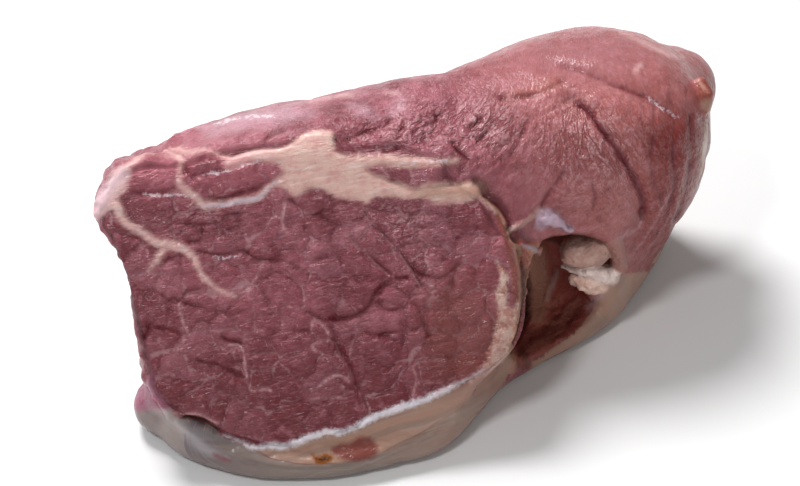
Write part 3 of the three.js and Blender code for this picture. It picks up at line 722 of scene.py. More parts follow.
# Places of another colour, each over the ones before it: tissues and stained places, and some painted shade
# and painted highlights.
COLOURED_PLACES = dict(
    orange=coloured_place((0.42, 0.14, 0.1), 0.35, 1.4,
        strip([(508, 97), (527, 92), (541, 88), (556, 82)], 2, 4, 6, 5)),
    pale_streak=coloured_place((0.72, 0.44, 0.43), 0.6, 0.9,
        strip([(620, 31), (641, 40), (661, 49), (682, 58)], 0.8, 1.6, 2.6, 1.2),
        strip([(304, 97), (315, 98), (330, 96)], 1, 2.6, 1),
        strip([(336, 95), (344, 94), (352, 95)], 1, 2.6, 1),
        strip([(386, 92), (393, 92), (400, 93)], 1, 2, 1),
        strip([(635, 70), (640, 65)], 2.5, 2)),
    bright_corner=coloured_place((0.48, 0.13, 0.17), 0.55, 4,
        oval((156, 174), (26, 20)),
        oval((225, 172), (40, 16))),
    # Silvery membrane along the vein: partly its real colour and partly a painted highlight on it.
    silver_and_highlight=coloured_place((0.6, 0.47, 0.54), 0.85, 0.4,
        strip([(203, 206), (227, 204), (243, 201), (259, 197), (268, 189), (277, 182)],
            1.5, 2.2, 2.4, 2.2, 1.6, 1)),
    # Painted highlight: pale wet shine along the top of the ridge and two spots beside it.
    painted_sheen=coloured_place((0.7, 0.45, 0.53), 0.45, 2.2,
        strip([(205, 128), (240, 120), (270, 117), (310, 113)], 3, 8, 9, 3),
        strip([(352, 106), (364, 111), (376, 114)], 1, 4, 1),
        strip([(392, 112), (399, 105), (402, 98)], 1, 3, 1)),
    corner=coloured_place((0.69, 0.5, 0.56), 0.7, 1.5, strip([(97, 213), (106, 192), (122, 174)], 5, 9, 6)),
    stripe_tan=coloured_place((0.38, 0.21, 0.15), 0.75, 1.4, strip([(415, 193), (445, 192), (480, 190)], 3, 7, 8)),
    brown_face=coloured_place((0.21, 0.05, 0.038), 0.6, 5, oval((464, 332), (40, 58))),
    rust=coloured_place((0.27, 0.06, 0.04), 0.85, 1, oval((705, 90), (9, 13))),
    nub_tan=coloured_place((0.4, 0.24, 0.17), 0.8, 0.8, oval((708, 105), (7, 6))),
    nub_light=coloured_place((0.62, 0.32, 0.25), 0.7, 0.5, strip([(697, 80), (704, 86), (709, 92)], 1, 1.6, 1)),
    # Painted shade: dark maroon in the cleft between the right lobe and the block.
    cleft=coloured_place((0.1, 0.013, 0.016), 0.85, 1.8,
        strip([(474, 179), (484, 186), (491, 197), (500, 206), (508, 217), (514, 230), (526, 244)],
            1, 2, 4, 5, 5, 6, 5)),
    hollow_red=coloured_place((0.46, 0.11, 0.085), 0.95, 0.6,
        patch([(516, 240), (530, 242), (545, 243), (558, 246), (566, 262), (578, 278), (600, 290),
            (592, 304), (582, 320), (565, 338), (541, 354), (524, 366), (514, 352), (514, 330), (519, 310),
            (519, 285), (515, 262)])),
    hollow_front=coloured_place((0.17, 0.042, 0.032), 0.75, 2,
        patch([(520, 336), (545, 322), (566, 306), (584, 298), (594, 303), (582, 320), (565, 338),
            (541, 354), (524, 366), (516, 352)])),
    hollow_streak=coloured_place((0.56, 0.22, 0.16), 0.8, 0.8,
        strip([(524, 352), (545, 340), (565, 326)], 1.5, 2.2, 1.2),
        strip([(532, 330), (545, 322), (558, 323), (570, 314)], 1, 2, 1.4, 0.8),
        strip([(540, 312), (552, 306), (560, 296)], 1, 2, 1.2),
        strip([(562, 318), (570, 308), (578, 300)], 1.5, 2.5, 1.5)),
    tan=coloured_place((0.46, 0.22, 0.15), 0.85, 1, strip([(536, 252), (536, 285), (535, 314)], 11, 12, 9)),
    grey_pink=coloured_place((0.5, 0.3, 0.26), 0.8, 0.5,
        strip([(557, 271), (551, 284), (546, 298)], 2.5, 3.5, 2.5),
        strip([(540, 209), (534, 215), (525, 222), (512, 230)], 2, 3, 3, 1.5)),
    blue_tissue=coloured_place((0.42, 0.34, 0.37), 0.85, 0.4,
        strip([(522, 245), (530, 248), (538, 251)], 1.5, 3, 2)),
    # Painted shade: near black in the narrow slit beside the rim's edge and at its top.
    gap=coloured_place((0.035, 0.008, 0.005), 0.92, 0.9,
        strip([(519, 250), (523, 262), (526, 290), (525, 312), (521, 328), (515, 342)],
            1.6, 2.4, 3, 4, 4, 2.4),
        strip([(508, 228), (514, 238), (518, 243)], 3, 4, 2)),
    olive=coloured_place((0.24, 0.16, 0.09), 0.8, 0.3,
        strip([(513, 244), (518, 246), (521, 254), (521, 261)], 1, 1.6, 1.6, 1)),
    rim_red=coloured_place((0.26, 0.07, 0.05), 0.8, 0.5,
        strip([(498, 216), (505, 234), (509, 250), (514, 272), (516, 290), (514, 300)], 2, 3, 3, 3, 3, 1.5)),
    edge_tan=coloured_place((0.52, 0.3, 0.2), 0.9, 0.5,
        strip([(486, 199), (496, 208), (503, 218), (511, 240), (517, 260), (520, 280), (520, 304),
            (517, 322), (512, 340), (508, 356)], 1.2, 1.3, 1.3, 1.3, 1.2, 1.2, 1.8, 2.2, 2.2, 1.5)),
    # Bluish streaks of tissue in the recess, and a painted highlight down the pink lump on the left.
    blue_streak_and_lump_highlight=coloured_place((0.46, 0.35, 0.37), 0.55, 1.2,
        strip([(602, 292), (594, 299), (588, 308)], 3, 4, 2),
        strip([(149, 382), (151, 394), (154, 408), (166, 414)], 1, 2.5, 3, 2)),
    foot_orange=coloured_place((0.46, 0.23, 0.15), 0.8, 0.6, strip([(512, 350), (514, 360), (512, 372)], 2, 3, 3)),
    foot_red=coloured_place((0.16, 0.045, 0.035), 0.85, 0.6, strip([(521, 350), (526, 360), (530, 367)], 4, 5, 4)),
    light_skin=coloured_place((0.42, 0.39, 0.41), 0.5, 1,
        strip([(176, 420), (187, 434), (204, 449), (226, 458)], 2, 4, 5, 2)),
    dark_skin=coloured_place((0.16, 0.14, 0.14), 0.8, 0.7,
        strip([(180, 420), (194, 431), (208, 437), (226, 442)], 1, 3, 3, 1)),
    # Painted shade: near black in the deep crease under the lower left of the cut face.
    hollow_skin_shade=coloured_place((0.07, 0.028, 0.02), 0.9, 0.35,
        strip([(181, 417), (191, 418), (201, 421), (210, 426), (217, 431)], 0.8, 2.4, 3.4, 3, 1)),
    red=coloured_place((0.17, 0.022, 0.018), 0.85, 0.8,
        strip([(214, 455), (221, 458), (229, 461)], 1, 2.4, 1),
        patch([(331, 449), (341, 444), (350, 443), (357, 438), (367, 437), (375, 443), (377, 452),
            (371, 459), (358, 462), (346, 460), (337, 455)])),
    brown=coloured_place((0.24, 0.07, 0.005), 1, 0.5,
        patch([(312, 454), (319, 455), (325, 453), (333, 454), (332, 458), (325, 463), (316, 463)])),
    brown_core=coloured_place((0.03, 0.006, 0.002), 0.9, 0.3,
        strip([(316, 458), (322, 458), (329, 456)], 1, 1.8, 1)),
    # Painted highlights: thin pale glint marks on the ridge, the cut face, the fat and the lobe.
    painted_glints=coloured_place((0.8, 0.62, 0.68), 0.8, 0.3,
        strip([(143, 192), (152, 195), (164, 197), (176, 195), (191, 198)], 0.2, 0.9, 1.2, 0.9, 0.2),
        strip([(202, 176), (216, 173), (230, 170)], 0.3, 1, 0.3),
        strip([(238, 167), (250, 163), (264, 162)], 0.2, 0.7, 0.2),
        strip([(214, 257), (226, 258), (240, 255)], 0.2, 0.9, 0.2),
        strip([(215, 124), (228, 121), (240, 119)], 0.3, 1, 0.5),
        strip([(246, 118), (262, 117), (276, 118)], 0.3, 1.2, 0.4),
        strip([(647, 96), (655, 103), (665, 110), (677, 118)], 0.3, 0.9, 1.1, 0.3),
        strip([(402, 163), (425, 162), (453, 161)], 0.4, 1, 0.3), rough=1.9),
)

# Wrinkles in the surface, in pixels of the picture: where they lie, which way they run, how long and
# wide they are, and how deep in millimetres.
WRINKLES = [
    dict(middle=(500, 145), radii=(62, 36), run=(-0.5, 0.86), long=12, wide=4.6, deep=0.26, seed=81),
    dict(middle=(418, 134), radii=(62, 24), run=(-0.78, 0.62), long=14, wide=5, deep=0.24, seed=83),
    dict(middle=(606, 170), radii=(48, 62), run=(0.42, 0.9), long=40, wide=9, deep=0.16, seed=85),
    dict(middle=(660, 150), radii=(36, 90), run=(0.1, 1), long=50, wide=10, deep=0.22, seed=87),
    dict(middle=(285, 118), radii=(90, 22), run=(-0.95, 0.3), long=40, wide=9, deep=0.14, seed=89),
    dict(middle=(215, 230), radii=(90, 60), run=(0.94, -0.35), long=18, wide=6, deep=0.3, seed=91),
    dict(middle=(565, 95), radii=(55, 22), run=(-0.9, 0.4), long=22, wide=7, deep=0.2, seed=93),
    dict(middle=(300, 452), radii=(170, 26), run=(0.97, 0.05), long=70, wide=9, deep=0.2, seed=95),
    dict(middle=(560, 318), radii=(34, 26), run=(0.86, -0.5), long=16, wide=5, deep=0.4, seed=97),
    dict(middle=(310, 310), radii=(160, 100), run=(1, -0.1), long=16, wide=6, deep=0.2, seed=99),
]
WRINKLE = dict(share=0.3, bulge=0.5, finer=2.3, fine_share=0.5, warp=5, warp_size=14)

# Places round a middle with two radii in the picture, each with how strongly it shows: fine creases
# with painted shade and a whitish grain of painted glint specks, the smooth ones and the top of the lobe.
FROSTED = [
    (1, (588, 142), (50, 48)),
    (1, (478, 124), (46, 24)),
    (0.9, (408, 132), (44, 22)),
    (0.7, (392, 222), (44, 22)),
    (0.7, (418, 268), (20, 26)),
    (0.5, (200, 216), (50, 20)),
]
SMOOTH = [(1, (602, 74), (120, 56)), (1, (530, 190), (34, 36))]
LOBE_TOP = [(1, (585, 52), (90, 34))]

# Where a colour comes in across or down the picture, from the pixel with none to the one with all.
SKIN_LEFT = (290, 170)
SKIN_RIGHT = (330, 560)
FAT_LEFT = (290, 240)
FAR_RIGHT = dict(across=(618, 672), down=(90, 145))

# Where a mark comes in on the piece, from none to all, in millimetres: painted shade outside the
# recess's wall and up the cut face, to the right and the back, within a shred, on the cut face and inside the
# fat's outline.
# The white shred's colour also shows on the cream one, by a share.
IN_HOLLOW = (2.6, 0.6)
LOW_FACE = (3, -20)
WARM = dict(back_share=0.4, place=(5, 50))
ON_SHRED = (-0.9, -0.2)
ON_FACE = dict(beyond=(-1.6, -0.4), inside_rim=(-1, 1), turned=(0.6, 0.9))
ON_FAT = (-0.6, 0.2)
WHITE_ON_CREAM = 0.4

# The noise by which the outlines wander, and how unevenly the traced lines show.
WANDER = dict(size=5, seeds=(11, 17))
UNEVEN = dict(middle=0.85, swing=0.5, size=4, seed=71, least=0.2, most=1.4)
# A traced line's groove, narrow and broad, how far the marks beside it reach, in pixels, and how it
# fades at its ends, in shares of its length.
GROOVE = dict(narrow=0.6, broad=0.9, reach=5, ends=(-0.04, 0.1))

# The muscle bundles that the cut face shows besides the traced ones, in millimetres.
BUNDLES = dict(size=6.4, spread=0.85, wander=1.8, wander_size=6, seed=61)
BUNDLE_TABLE = 64

# The sides that the picture doesn't show, in millimetres: silverskin up to this height all round, with
# a ragged edge and none in the recess, and the seams between the muscles.
BAND = dict(height=10, ragged=4, size=14, seed=31, recess=(2, 0.5))
SEAMS = dict(stretch=(0.4, 0.4, 1), size=11, share=0.1, deep=0.5, seed=101)


def line_marks(spots, lines):
    """Pixels to the nearest line, with a sign for its side, its depth and paleness there, and the grooves."""
    closest = np.full(len(spots), float(REACH))
    side = np.ones(len(spots))
    deep, pale, groove = np.zeros((3, len(spots)))
    for line in lines:
        curve = line["curve"]
        here = within_reach(spots, curve)
        distance, i, share = nearest(spots[here], curve)
        along = (i + share) / (len(curve) - 1)
        shows = clamped(np.minimum(along, 1 - along), *GROOVE["ends"])
        run, offset = curve[i + 1] - curve[i], spots[here] - curve[i]
        narrow = np.exp(-((distance / line["wide"]) ** 2))
        broad = np.exp(-((distance / GROOVE["reach"]) ** 2))
        depth = line["deep"] * shows
        shape = depth * (GROOVE["narrow"] * narrow + GROOVE["broad"] * broad)
        groove[here] = np.maximum(groove[here], shape)
        closer = distance < closest[here]
        at = here[closer]
        closest[at] = distance[closer]
        side[at] = np.sign(run[:, 0] * offset[:, 1] - run[:, 1] * offset[:, 0])[closer]
        deep[at] = depth[closer]
        pale[at] = (line["pale"] * shows)[closer]
    nearby = np.exp(-((closest / GROOVE["reach"]) ** 2))
    return side * closest, deep * nearby, pale * nearby, groove


def on_face_axes(p):
    """Millimetres to the right and up along the cut face from its point."""
    from_point = p - FACE["point"]
    return from_point @ FACE_RIGHT, from_point @ FACE_UP


def bundle_tone(p, size, spread, wander, wander_size, seed):
    """Millimetres to the border of the bundle that a point lies in, and the bundle's tone from -1 to 1."""
    shift = [wander * layered_noise(p, wander_size, seed + k) for k in (5, 11)]
    spots = (np.stack(on_face_axes(p), -1) + np.stack(shift, -1)) / size
    table = np.random.default_rng(seed).uniform(0, 1, (BUNDLE_TABLE, BUNDLE_TABLE, 3))
    home = np.floor(spots).astype(int)
    first, second = np.full(len(p), np.inf), np.full(len(p), np.inf)
    tone = np.zeros(len(p))
    for step in np.ndindex(5, 5):
        cell = home + np.array(step) - 2
        kind = table[cell[:, 0] % BUNDLE_TABLE, cell[:, 1] % BUNDLE_TABLE]
        away = np.linalg.norm(spots - cell - 0.5 - spread * (kind[:, :2] - 0.5), axis=1)
        closest = away < first
        second = np.where(closest, first, np.minimum(second, away))
        first = np.where(closest, away, first)
        tone = np.where(closest, kind[:, 2], tone)
    return (second - first) * size, 2 * tone - 1


def wrinkled(spots, middle, radii, run, long, wide, deep, seed):
    """Grooves that run one way, with bulges in between, round a place in the picture."""
    run = unit(run)
    flat = np.column_stack([spots, np.zeros(len(spots))]) / WRINKLE["warp_size"]
    warp = np.stack([lattice_noise(flat, seed + k) for k in (5, 6)], -1)
    from_middle = spots - middle + WRINKLE["warp"] * warp
    along = from_middle @ run / long
    across = from_middle @ np.array([-run[1], run[0]]) / wide
    place = np.stack([along, across, np.zeros(len(spots))], -1)
    fine = lattice_noise(WRINKLE["finer"] * place, seed + 1)
    height = lattice_noise(place, seed) + WRINKLE["fine_share"] * fine
    groove = np.exp(-((height / WRINKLE["share"]) ** 2))
    return deep * (WRINKLE["bulge"] * np.abs(height) - groove) * spot_share(spots, middle, radii)


def spot_share(spots, middle, radii):
    return np.exp(-(((spots - middle) / radii) ** 2).sum(-1))


def most_of(spots, places):
    """How strongly the strongest of the places shows at each spot."""
    return np.max([share * spot_share(spots, middle, radii) for share, middle, radii in places], axis=0)


def shred_share(p, name):
    """1 on a shred's own surface, and 0 about a millimetre away from it."""
    return clamped(-string(p, **SHREDS[name]), *ON_SHRED)


def low_band(p):
    ragged = BAND["ragged"] * layered_noise(p, BAND["size"], BAND["seed"])
    in_recess = clamped(lobe(p, **RECESS), *BAND["recess"])
    return BAND["height"] + ragged - p[:, 2] - 2 * BAND["height"] * in_recess


def painted(p, normals, seen):
    """Everything that the material and the fine relief need to know at each vertex."""
    plain = pictured(p)
    across, down = plain.T
    spots = plain + np.stack([layered_noise(p, WANDER["size"], seed) for seed in WANDER["seeds"]], -1)
    hidden = REACH * (1 - seen)

    def depth_of(shapes):
        return (depth_in(spots, shapes) - hidden) * MM_PER_PIXEL

    fat = depth_of(FAT)
    line, line_deep, line_pale, groove = line_marks(spots, BORDERS + CREASES)
    swing = UNEVEN["swing"] * layered_noise(p, UNEVEN["size"], UNEVEN["seed"])
    uneven = np.clip(UNEVEN["middle"] + swing, UNEVEN["least"], UNEVEN["most"]) * seen
    inside_rim = clamped(-beyond_rim(p)[0], *ON_FACE["inside_rim"])
    turned = clamped(normals @ FACE_OUT, *ON_FACE["turned"])
    on_face = clamped(beyond_face(p), *ON_FACE["beyond"]) * inside_rim * turned
    border, tone = bundle_tone(p, **BUNDLES)
    cream = shred_share(p, "cream")
    return dict(
        fat=fat,
        rim_fat=depth_of(RIM_FAT),
        white=depth_of(WHITE_RIM),
        skin=np.where(seen > 0.5, depth_of(SKIN), low_band(p)),
        lump=depth_of(LUMP),
        peach=depth_of(PEACH),
        skin_left=clamped(across, *SKIN_LEFT),
        fat_left=clamped(across, *FAT_LEFT) * seen,
        skin_right=clamped(across, *SKIN_RIGHT),
        line=line * MM_PER_PIXEL,
        line_deep=line_deep * uneven,
        line_pale=line_pale * uneven,
        groove=groove * uneven,
        face=on_face,
        clear=on_face * (1 - clamped(fat, *ON_FAT) * seen),
        border=border,
        tone=tone,
        # Painted shade: the cut face darker towards its bottom.
        low_face_shade=clamped(on_face_axes(p)[1], *LOW_FACE),
        far_right=clamped(across, *FAR_RIGHT["across"]) * clamped(down, *FAR_RIGHT["down"]),
        smooth=most_of(plain, SMOOTH) * seen,
        frosted=most_of(plain, FROSTED) * seen,
        lobe_top=most_of(plain, LOBE_TOP) * seen,
        # Painted shade: dark inside the recess's wall.
        hollow_shade=clamped(lobe(p, **RECESS), *IN_HOLLOW),
        folds=sum(wrinkled(plain, **wrinkles) for wrinkles in WRINKLES) * seen,
        nodule=clamped(-lobe(p, **NODULE), *ON_SHRED),
        tag_white=np.maximum(shred_share(p, "white"), WHITE_ON_CREAM * cream),
        tag_cream=cream,
        lavender=shred_share(p, "lavender"),
        tissue=np.maximum(shred_share(p, "tissue"), shred_share(p, "membrane")),
        **{name: depth_of(coloured_place["shapes"]) for name, coloured_place in COLOURED_PLACES.items()},
    )


# The fine relief in millimetres. A coating's height comes with the depths inside its outline between
# which it rises.
LIFTS = dict(
    fat=(0.35, -0.7, 1.2),
    rim_fat=(0.3, -0.3, 1),
    white=(0.16, -0.6, 0.6),
    lump=(0.6, -0.5, 3),
    hollow_skin_shade=(-0.8, -0.4, 0.6),
    gap=(-0.9, -0.5, 0.6),
    tan=(0.8, -0.8, 0.8),
    grey_pink=(0.7, -0.5, 0.6),
    blue_tissue=(0.6, -0.4, 0.5),
    olive=(0.5, -0.2, 0.3),
)
BULGE = dict(height=0.4, wide=2.2)
CLEFT = dict(deep=0.25, wide=0.7, size=9, seed=67, open=(-0.5, 0.5))
LEFT_EDGE = dict(height=1.1, size=5, seed=53, across=(-38, -47), up=(8, 16))
ROUGH_TAG = dict(height=0.5, size=1.8, seed=47)
ROUGH_LAVENDER = dict(height=0.7, size=2.2, seed=49)
SWELLS = [dict(height=0.32, size=15, seed=51), dict(height=0.14, size=4.5, seed=57)]
SWELL_OFF_FACE = 0.6
ABOVE_BOARD = (0.1, 2)


def rough(p, height, size, seed):
    return height * layered_noise(p, size, seed)


def raised(p, marks, seen):
    """How far the fine relief lifts each vertex, in millimetres."""
    lift = marks["folds"] - marks["groove"]
    for name, (height, low, high) in LIFTS.items():
        lift += height * clamped(marks[name], low, high)
    seam = layered_noise(p * SEAMS["stretch"], SEAMS["size"], SEAMS["seed"], 2)
    lift -= SEAMS["deep"] * (1 - seen) * np.exp(-((seam / SEAMS["share"]) ** 2))
    open_border = clamped(layered_noise(p, CLEFT["size"], CLEFT["seed"]), *CLEFT["open"])
    cleft = CLEFT["deep"] * open_border * np.exp(-((marks["border"] / CLEFT["wide"]) ** 2))
    bulge = BULGE["height"] * (1 - np.exp(-marks["border"] / BULGE["wide"]))
    lift += marks["clear"] * (bulge - cleft)
    left_edge = clamped(p[:, 0], *LEFT_EDGE["across"]) * clamped(p[:, 2], *LEFT_EDGE["up"])
    lumps = layered_noise(p, LEFT_EDGE["size"], LEFT_EDGE["seed"])
    lift += LEFT_EDGE["height"] * left_edge * (1 - marks["face"]) * lumps
    tag = np.max([marks[name] for name in ("nodule", "tag_cream", "tag_white")], axis=0)
    lift += tag * rough(p, **ROUGH_TAG) + marks["lavender"] * rough(p, **ROUGH_LAVENDER)
    lift += sum(rough(p, **swell) for swell in SWELLS) * (1 - SWELL_OFF_FACE * marks["face"])
    return lift * clamped(p[:, 2], *ABOVE_BOARD)


# The fibres at the surface: they turn from one direction to another across the picture.
GRAIN = dict(middle=(540, 150), across=(-210, -35, 60), angles=(158, 125, 62), on_face=170)


def grain(p, face):
    """Millimetres along the fibres, across them and towards the camera, for streaks in the material."""
    spots = pictured(p) - GRAIN["middle"]
    turn = np.interp(spots[:, 0], GRAIN["across"], GRAIN["angles"])
    turn += (GRAIN["on_face"] - turn) * face
    run = np.stack([np.cos(np.radians(turn)), np.sin(np.radians(turn))], -1)
    along = (spots * run).sum(-1)
    across = spots[:, 1] * run[:, 0] - spots[:, 0] * run[:, 1]
    return np.stack([along * MM_PER_PIXEL, across * MM_PER_PIXEL, p @ TOWARDS_CAMERA], -1)


def make_mesh(name, points, triangles, attributes):
    mesh = bpy.data.meshes.new(name)
    mesh.vertices.add(len(points))
    mesh.vertices.foreach_set("co", (points / MM_PER_M).astype(np.float32).ravel())
    mesh.loops.add(triangles.size)
    mesh.loops.foreach_set("vertex_index", triangles.astype(np.int32).ravel())
    mesh.polygons.add(len(triangles))
    mesh.polygons.foreach_set("loop_start", np.arange(0, triangles.size, 3, dtype=np.int32))
    mesh.polygons.foreach_set("use_smooth", np.ones(len(triangles), bool))
    mesh.update(calc_edges=True)
    mesh.validate()
    for key, values in attributes.items():
        kind, field = ("FLOAT_VECTOR", "vector") if values.ndim == 2 else ("FLOAT", "value")
        layer = mesh.attributes.new(key, kind, "POINT")
        layer.data.foreach_set(field, values.astype(np.float32).ravel())
    piece = bpy.data.objects.new(name, mesh)
    bpy.context.scene.collection.objects.link(piece)
    return piece


def solid_box():
    """The low and the high corner of the solid's box, in millimetres."""
    return [MM_PER_M * np.array(corner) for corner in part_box("beef_tenderloin")]


def centred_on_cad(points):
    """The move that brings the drawn shape over the solid, across the board only."""
    points = points[np.abs(tenderloin(points)) < ON_SOLID]
    low, high = solid_box()
    move = (low + high) / 2 - (points.min(0) + points.max(0)) / 2
    return np.array([move[0], move[1], 0])


def beef():
    """The whole piece, and the move from the drawn shape to the place of the solid."""
    points, triangles = surface_net(dressed, SPACE["low"], SPACE["high"], CELL)
    points = evened(points, triangles, dressed, SMOOTHING_PASSES)
    move = centred_on_cad(points)
    middles = points[triangles].mean(1)
    out = unit(slopes(dressed, middles))
    facing = (out * unit(CAMERA_AT - middles)).sum(-1) > FACING_CAMERA
    points, triangles = refined(points, triangles, facing)
    points = evened(points, triangles, dressed, 1)
    out = unit(slopes(dressed, points))
    seen = in_sight(points, out, dressed)
    marks = painted(points, out, seen)
    points = points + raised(points, marks, seen)[:, None] * out
    marks["warm"] = clamped(points[:, 0] + WARM["back_share"] * points[:, 1], *WARM["place"])
    marks["grain"] = grain(points, marks["face"])
    return make_mesh("tenderloin_meat", np.clip(points + move, *solid_box()), triangles, marks), move


class Nodes:
    """Builds a material's nodes with short calls. Numbers and colours can stand for links."""

    def __init__(self, name):
        self.material = bpy.data.materials.new(name)
        self.material.use_nodes = True
        self.tree = self.material.node_tree
        self.tree.nodes.clear()
        self.output = self.tree.nodes.new("ShaderNodeOutputMaterial")

    def put(self, socket, value):
        if isinstance(value, bpy.types.NodeSocket):
            self.tree.links.new(value, socket)
        elif isinstance(value, tuple) and len(value) == 3 and socket.type == "RGBA":
            socket.default_value = (*value, 1)
        else:
            socket.default_value = value

    def node(self, kind, inputs=(), **settings):
        node = self.tree.nodes.new(kind)
        for key, value in settings.items():
            setattr(node, key, value)
        for key, value in dict(inputs).items():
            self.put(node.inputs[key], value)
        return node

    def attribute(self, name, output="Fac"):
        return self.node("ShaderNodeAttribute", attribute_name=name).outputs[output]

    def math(self, operation, a, b=0.0):
        return self.node("ShaderNodeMath", {0: a, 1: b}, operation=operation).outputs[0]

    def plus(self, a, b):
        return self.math("ADD", a, b)

    def most(self, a, b):
        return self.math("MAXIMUM", a, b)

    def times(self, value, *factors):
        for factor in factors:
            value = self.math("MULTIPLY", value, factor)
        return value

    def rest(self, share):
        """What a share leaves of the whole."""
        return self.math("SUBTRACT", 1.0, share)

    def swing(self, texture):
        """A texture's swing about its middle."""
        return self.math("SUBTRACT", texture, 0.5)

    def vectors(self, operation, a, b):
        return self.node("ShaderNodeVectorMath", {0: a, 1: b}, operation=operation).outputs[0]

    def scaled(self, vector, *by):
        return self.vectors("MULTIPLY", vector, by)

    def millimetres(self):
        place = self.node("ShaderNodeTexCoord").outputs["Object"]
        return self.scaled(place, MM_PER_M, MM_PER_M, MM_PER_M)

    def noise(self, vector, size, detail=3.0, rough=0.55, twist=0.0):
        inputs = {"Vector": vector, "Scale": 1 / size, "Detail": detail}
        inputs.update({"Roughness": rough, "Distortion": twist})
        return self.node("ShaderNodeTexNoise", inputs).outputs["Fac"]

    def ramp(self, value, low, high, to_low=0.0, to_high=1.0):
        """Goes smoothly from to_low to to_high while the value goes from low to high."""
        inputs = {"Value": value, "From Min": low, "From Max": high, "To Min": to_low, "To Max": to_high}
        node = self.node("ShaderNodeMapRange", inputs, interpolation_type="SMOOTHSTEP")
        return node.outputs["Result"]

    def mix(self, share, a, b):
        node = self.node("ShaderNodeMix", data_type="RGBA")
        for key, value in ((0, share), (6, a), (7, b)):
            self.put(node.inputs[key], value)
        return node.outputs[2]

    def coats(self, colour, *coats):
        """A colour with others over it, each by its share."""
        for share, over in coats:
            colour = self.mix(share, colour, over)
        return colour

    def bump(self, height, distance):
        inputs = {"Height": height, "Distance": distance, "Strength": 1.0}
        return self.node("ShaderNodeBump", inputs).outputs["Normal"]

    def surface(self, **values):
        shader = self.node("ShaderNodeBsdfPrincipled")
        for key, value in values.items():
            self.put(shader.inputs[key.replace("_", " ")], value)
        self.tree.links.new(shader.outputs[0], self.output.inputs["Surface"])
        return self.material


# Linear colours.
LEAN = (0.38, 0.115, 0.148)
LEAN_FACE = (0.315, 0.078, 0.104)
LEAN_DARK = (0.15, 0.018, 0.028)
LEAN_DEEP = (0.215, 0.02, 0.012)
LEAN_PALE = (0.54, 0.22, 0.27)
LEAN_PEARL = (0.60, 0.35, 0.37)
LEAN_WARM = (0.41, 0.126, 0.112)
LEAN_TOP = (0.31, 0.13, 0.15)
# Painted shade inside the recess.
HOLLOW_SHADE = (0.14, 0.03, 0.02)
MEMBRANE = (0.66, 0.38, 0.39)
# Painted shade in the creases, along the thin dark lines and low on the cut face.
DEEP_SHADE = (0.12, 0.009, 0.013)
FAT_CREAM = (0.73, 0.48, 0.42)
FAT_PINK = (0.64, 0.34, 0.31)
FAT_TAN = (0.55, 0.36, 0.26)
FAT_ROSE = (0.68, 0.40, 0.40)
FAT_WHITE = (0.84, 0.74, 0.72)
RIM_TAN = (0.54, 0.27, 0.215)
RIM_WHITE = (0.78, 0.56, 0.48)
RIM_EDGE = (0.72, 0.66, 0.71)
SKIN_GREY = (0.20, 0.15, 0.13)
SKIN_BLUE = (0.148, 0.116, 0.132)
SKIN_PEACH = (0.41, 0.23, 0.165)
SKIN_PALE = (0.35, 0.275, 0.235)
LUMP_PINK = (0.36, 0.095, 0.175)
SHRED_COLOURS = dict(
    nodule=(0.60, 0.37, 0.31),
    tissue=(0.40, 0.19, 0.16),
    lavender=(0.52, 0.40, 0.50),
    tag_cream=(0.86, 0.54, 0.40),
    tag_white=(0.97, 0.78, 0.72),
)


class Skin:
    """The textures that the layers of the meat's colour and relief share. Sizes are in millimetres."""

    def __init__(self, n):
        self.n = n
        self.place = n.millimetres()
        grain = n.attribute("grain", "Vector")
        self.face = n.attribute("face")
        self.frosted = n.attribute("frosted")
        self.smooth = n.attribute("smooth")
        self.tone = n.attribute("tone")
        self.clear = n.attribute("clear")
        self.line = n.math("ABSOLUTE", n.attribute("line"))
        self.deep = n.attribute("line_deep")
        self.fine = n.noise(self.place, size=0.55, detail=2.0, rough=0.6)
        self.medium = n.noise(self.place, size=2.4, detail=4.0, rough=0.6)
        self.large = n.noise(self.place, size=14.0)
        self.ragged = n.times(n.swing(n.noise(self.place, size=1.1, detail=4.0, rough=0.65)), 1.6)
        self.streaks = n.noise(n.scaled(grain, 0.14, 1.0, 1.0), size=1.0, rough=0.6)
        self.strokes = n.noise(n.scaled(grain, 0.3, 1.0, 0.6), size=1.5, rough=0.6, twist=0.6)
        self.fibres = n.noise(n.scaled(grain, 0.28, 1.0, 0.8), size=0.5, detail=2.0, rough=0.6, twist=0.4)
        creased = n.noise(n.scaled(grain, 0.42, 1.0, 0.7), size=2.6, rough=0.6, twist=0.5)
        self.crinkle = n.math("ABSOLUTE", n.swing(creased))
        self.layers = n.noise(n.scaled(self.place, 0.1, 0.1, 1.0), size=2.2, rough=0.6)
        below_edge = n.node("ShaderNodeCombineXYZ", {0: n.attribute("white")}).outputs[0]
        along = n.vectors("ADD", below_edge, n.scaled(self.place, 0.05, 0.05, 0.05))
        self.along_edge = n.noise(along, size=1.3, rough=0.6)

    def inside(self, name, soft=0.25, rough=1.0, streaky=0.0):
        """1 inside an outline and 0 outside it, with a ragged or a streaky edge."""
        n = self.n
        depth = n.plus(n.attribute(name), n.times(self.ragged, rough))
        if streaky:
            depth = n.plus(depth, n.times(n.swing(self.strokes), streaky))
        return n.ramp(depth, -soft, soft)


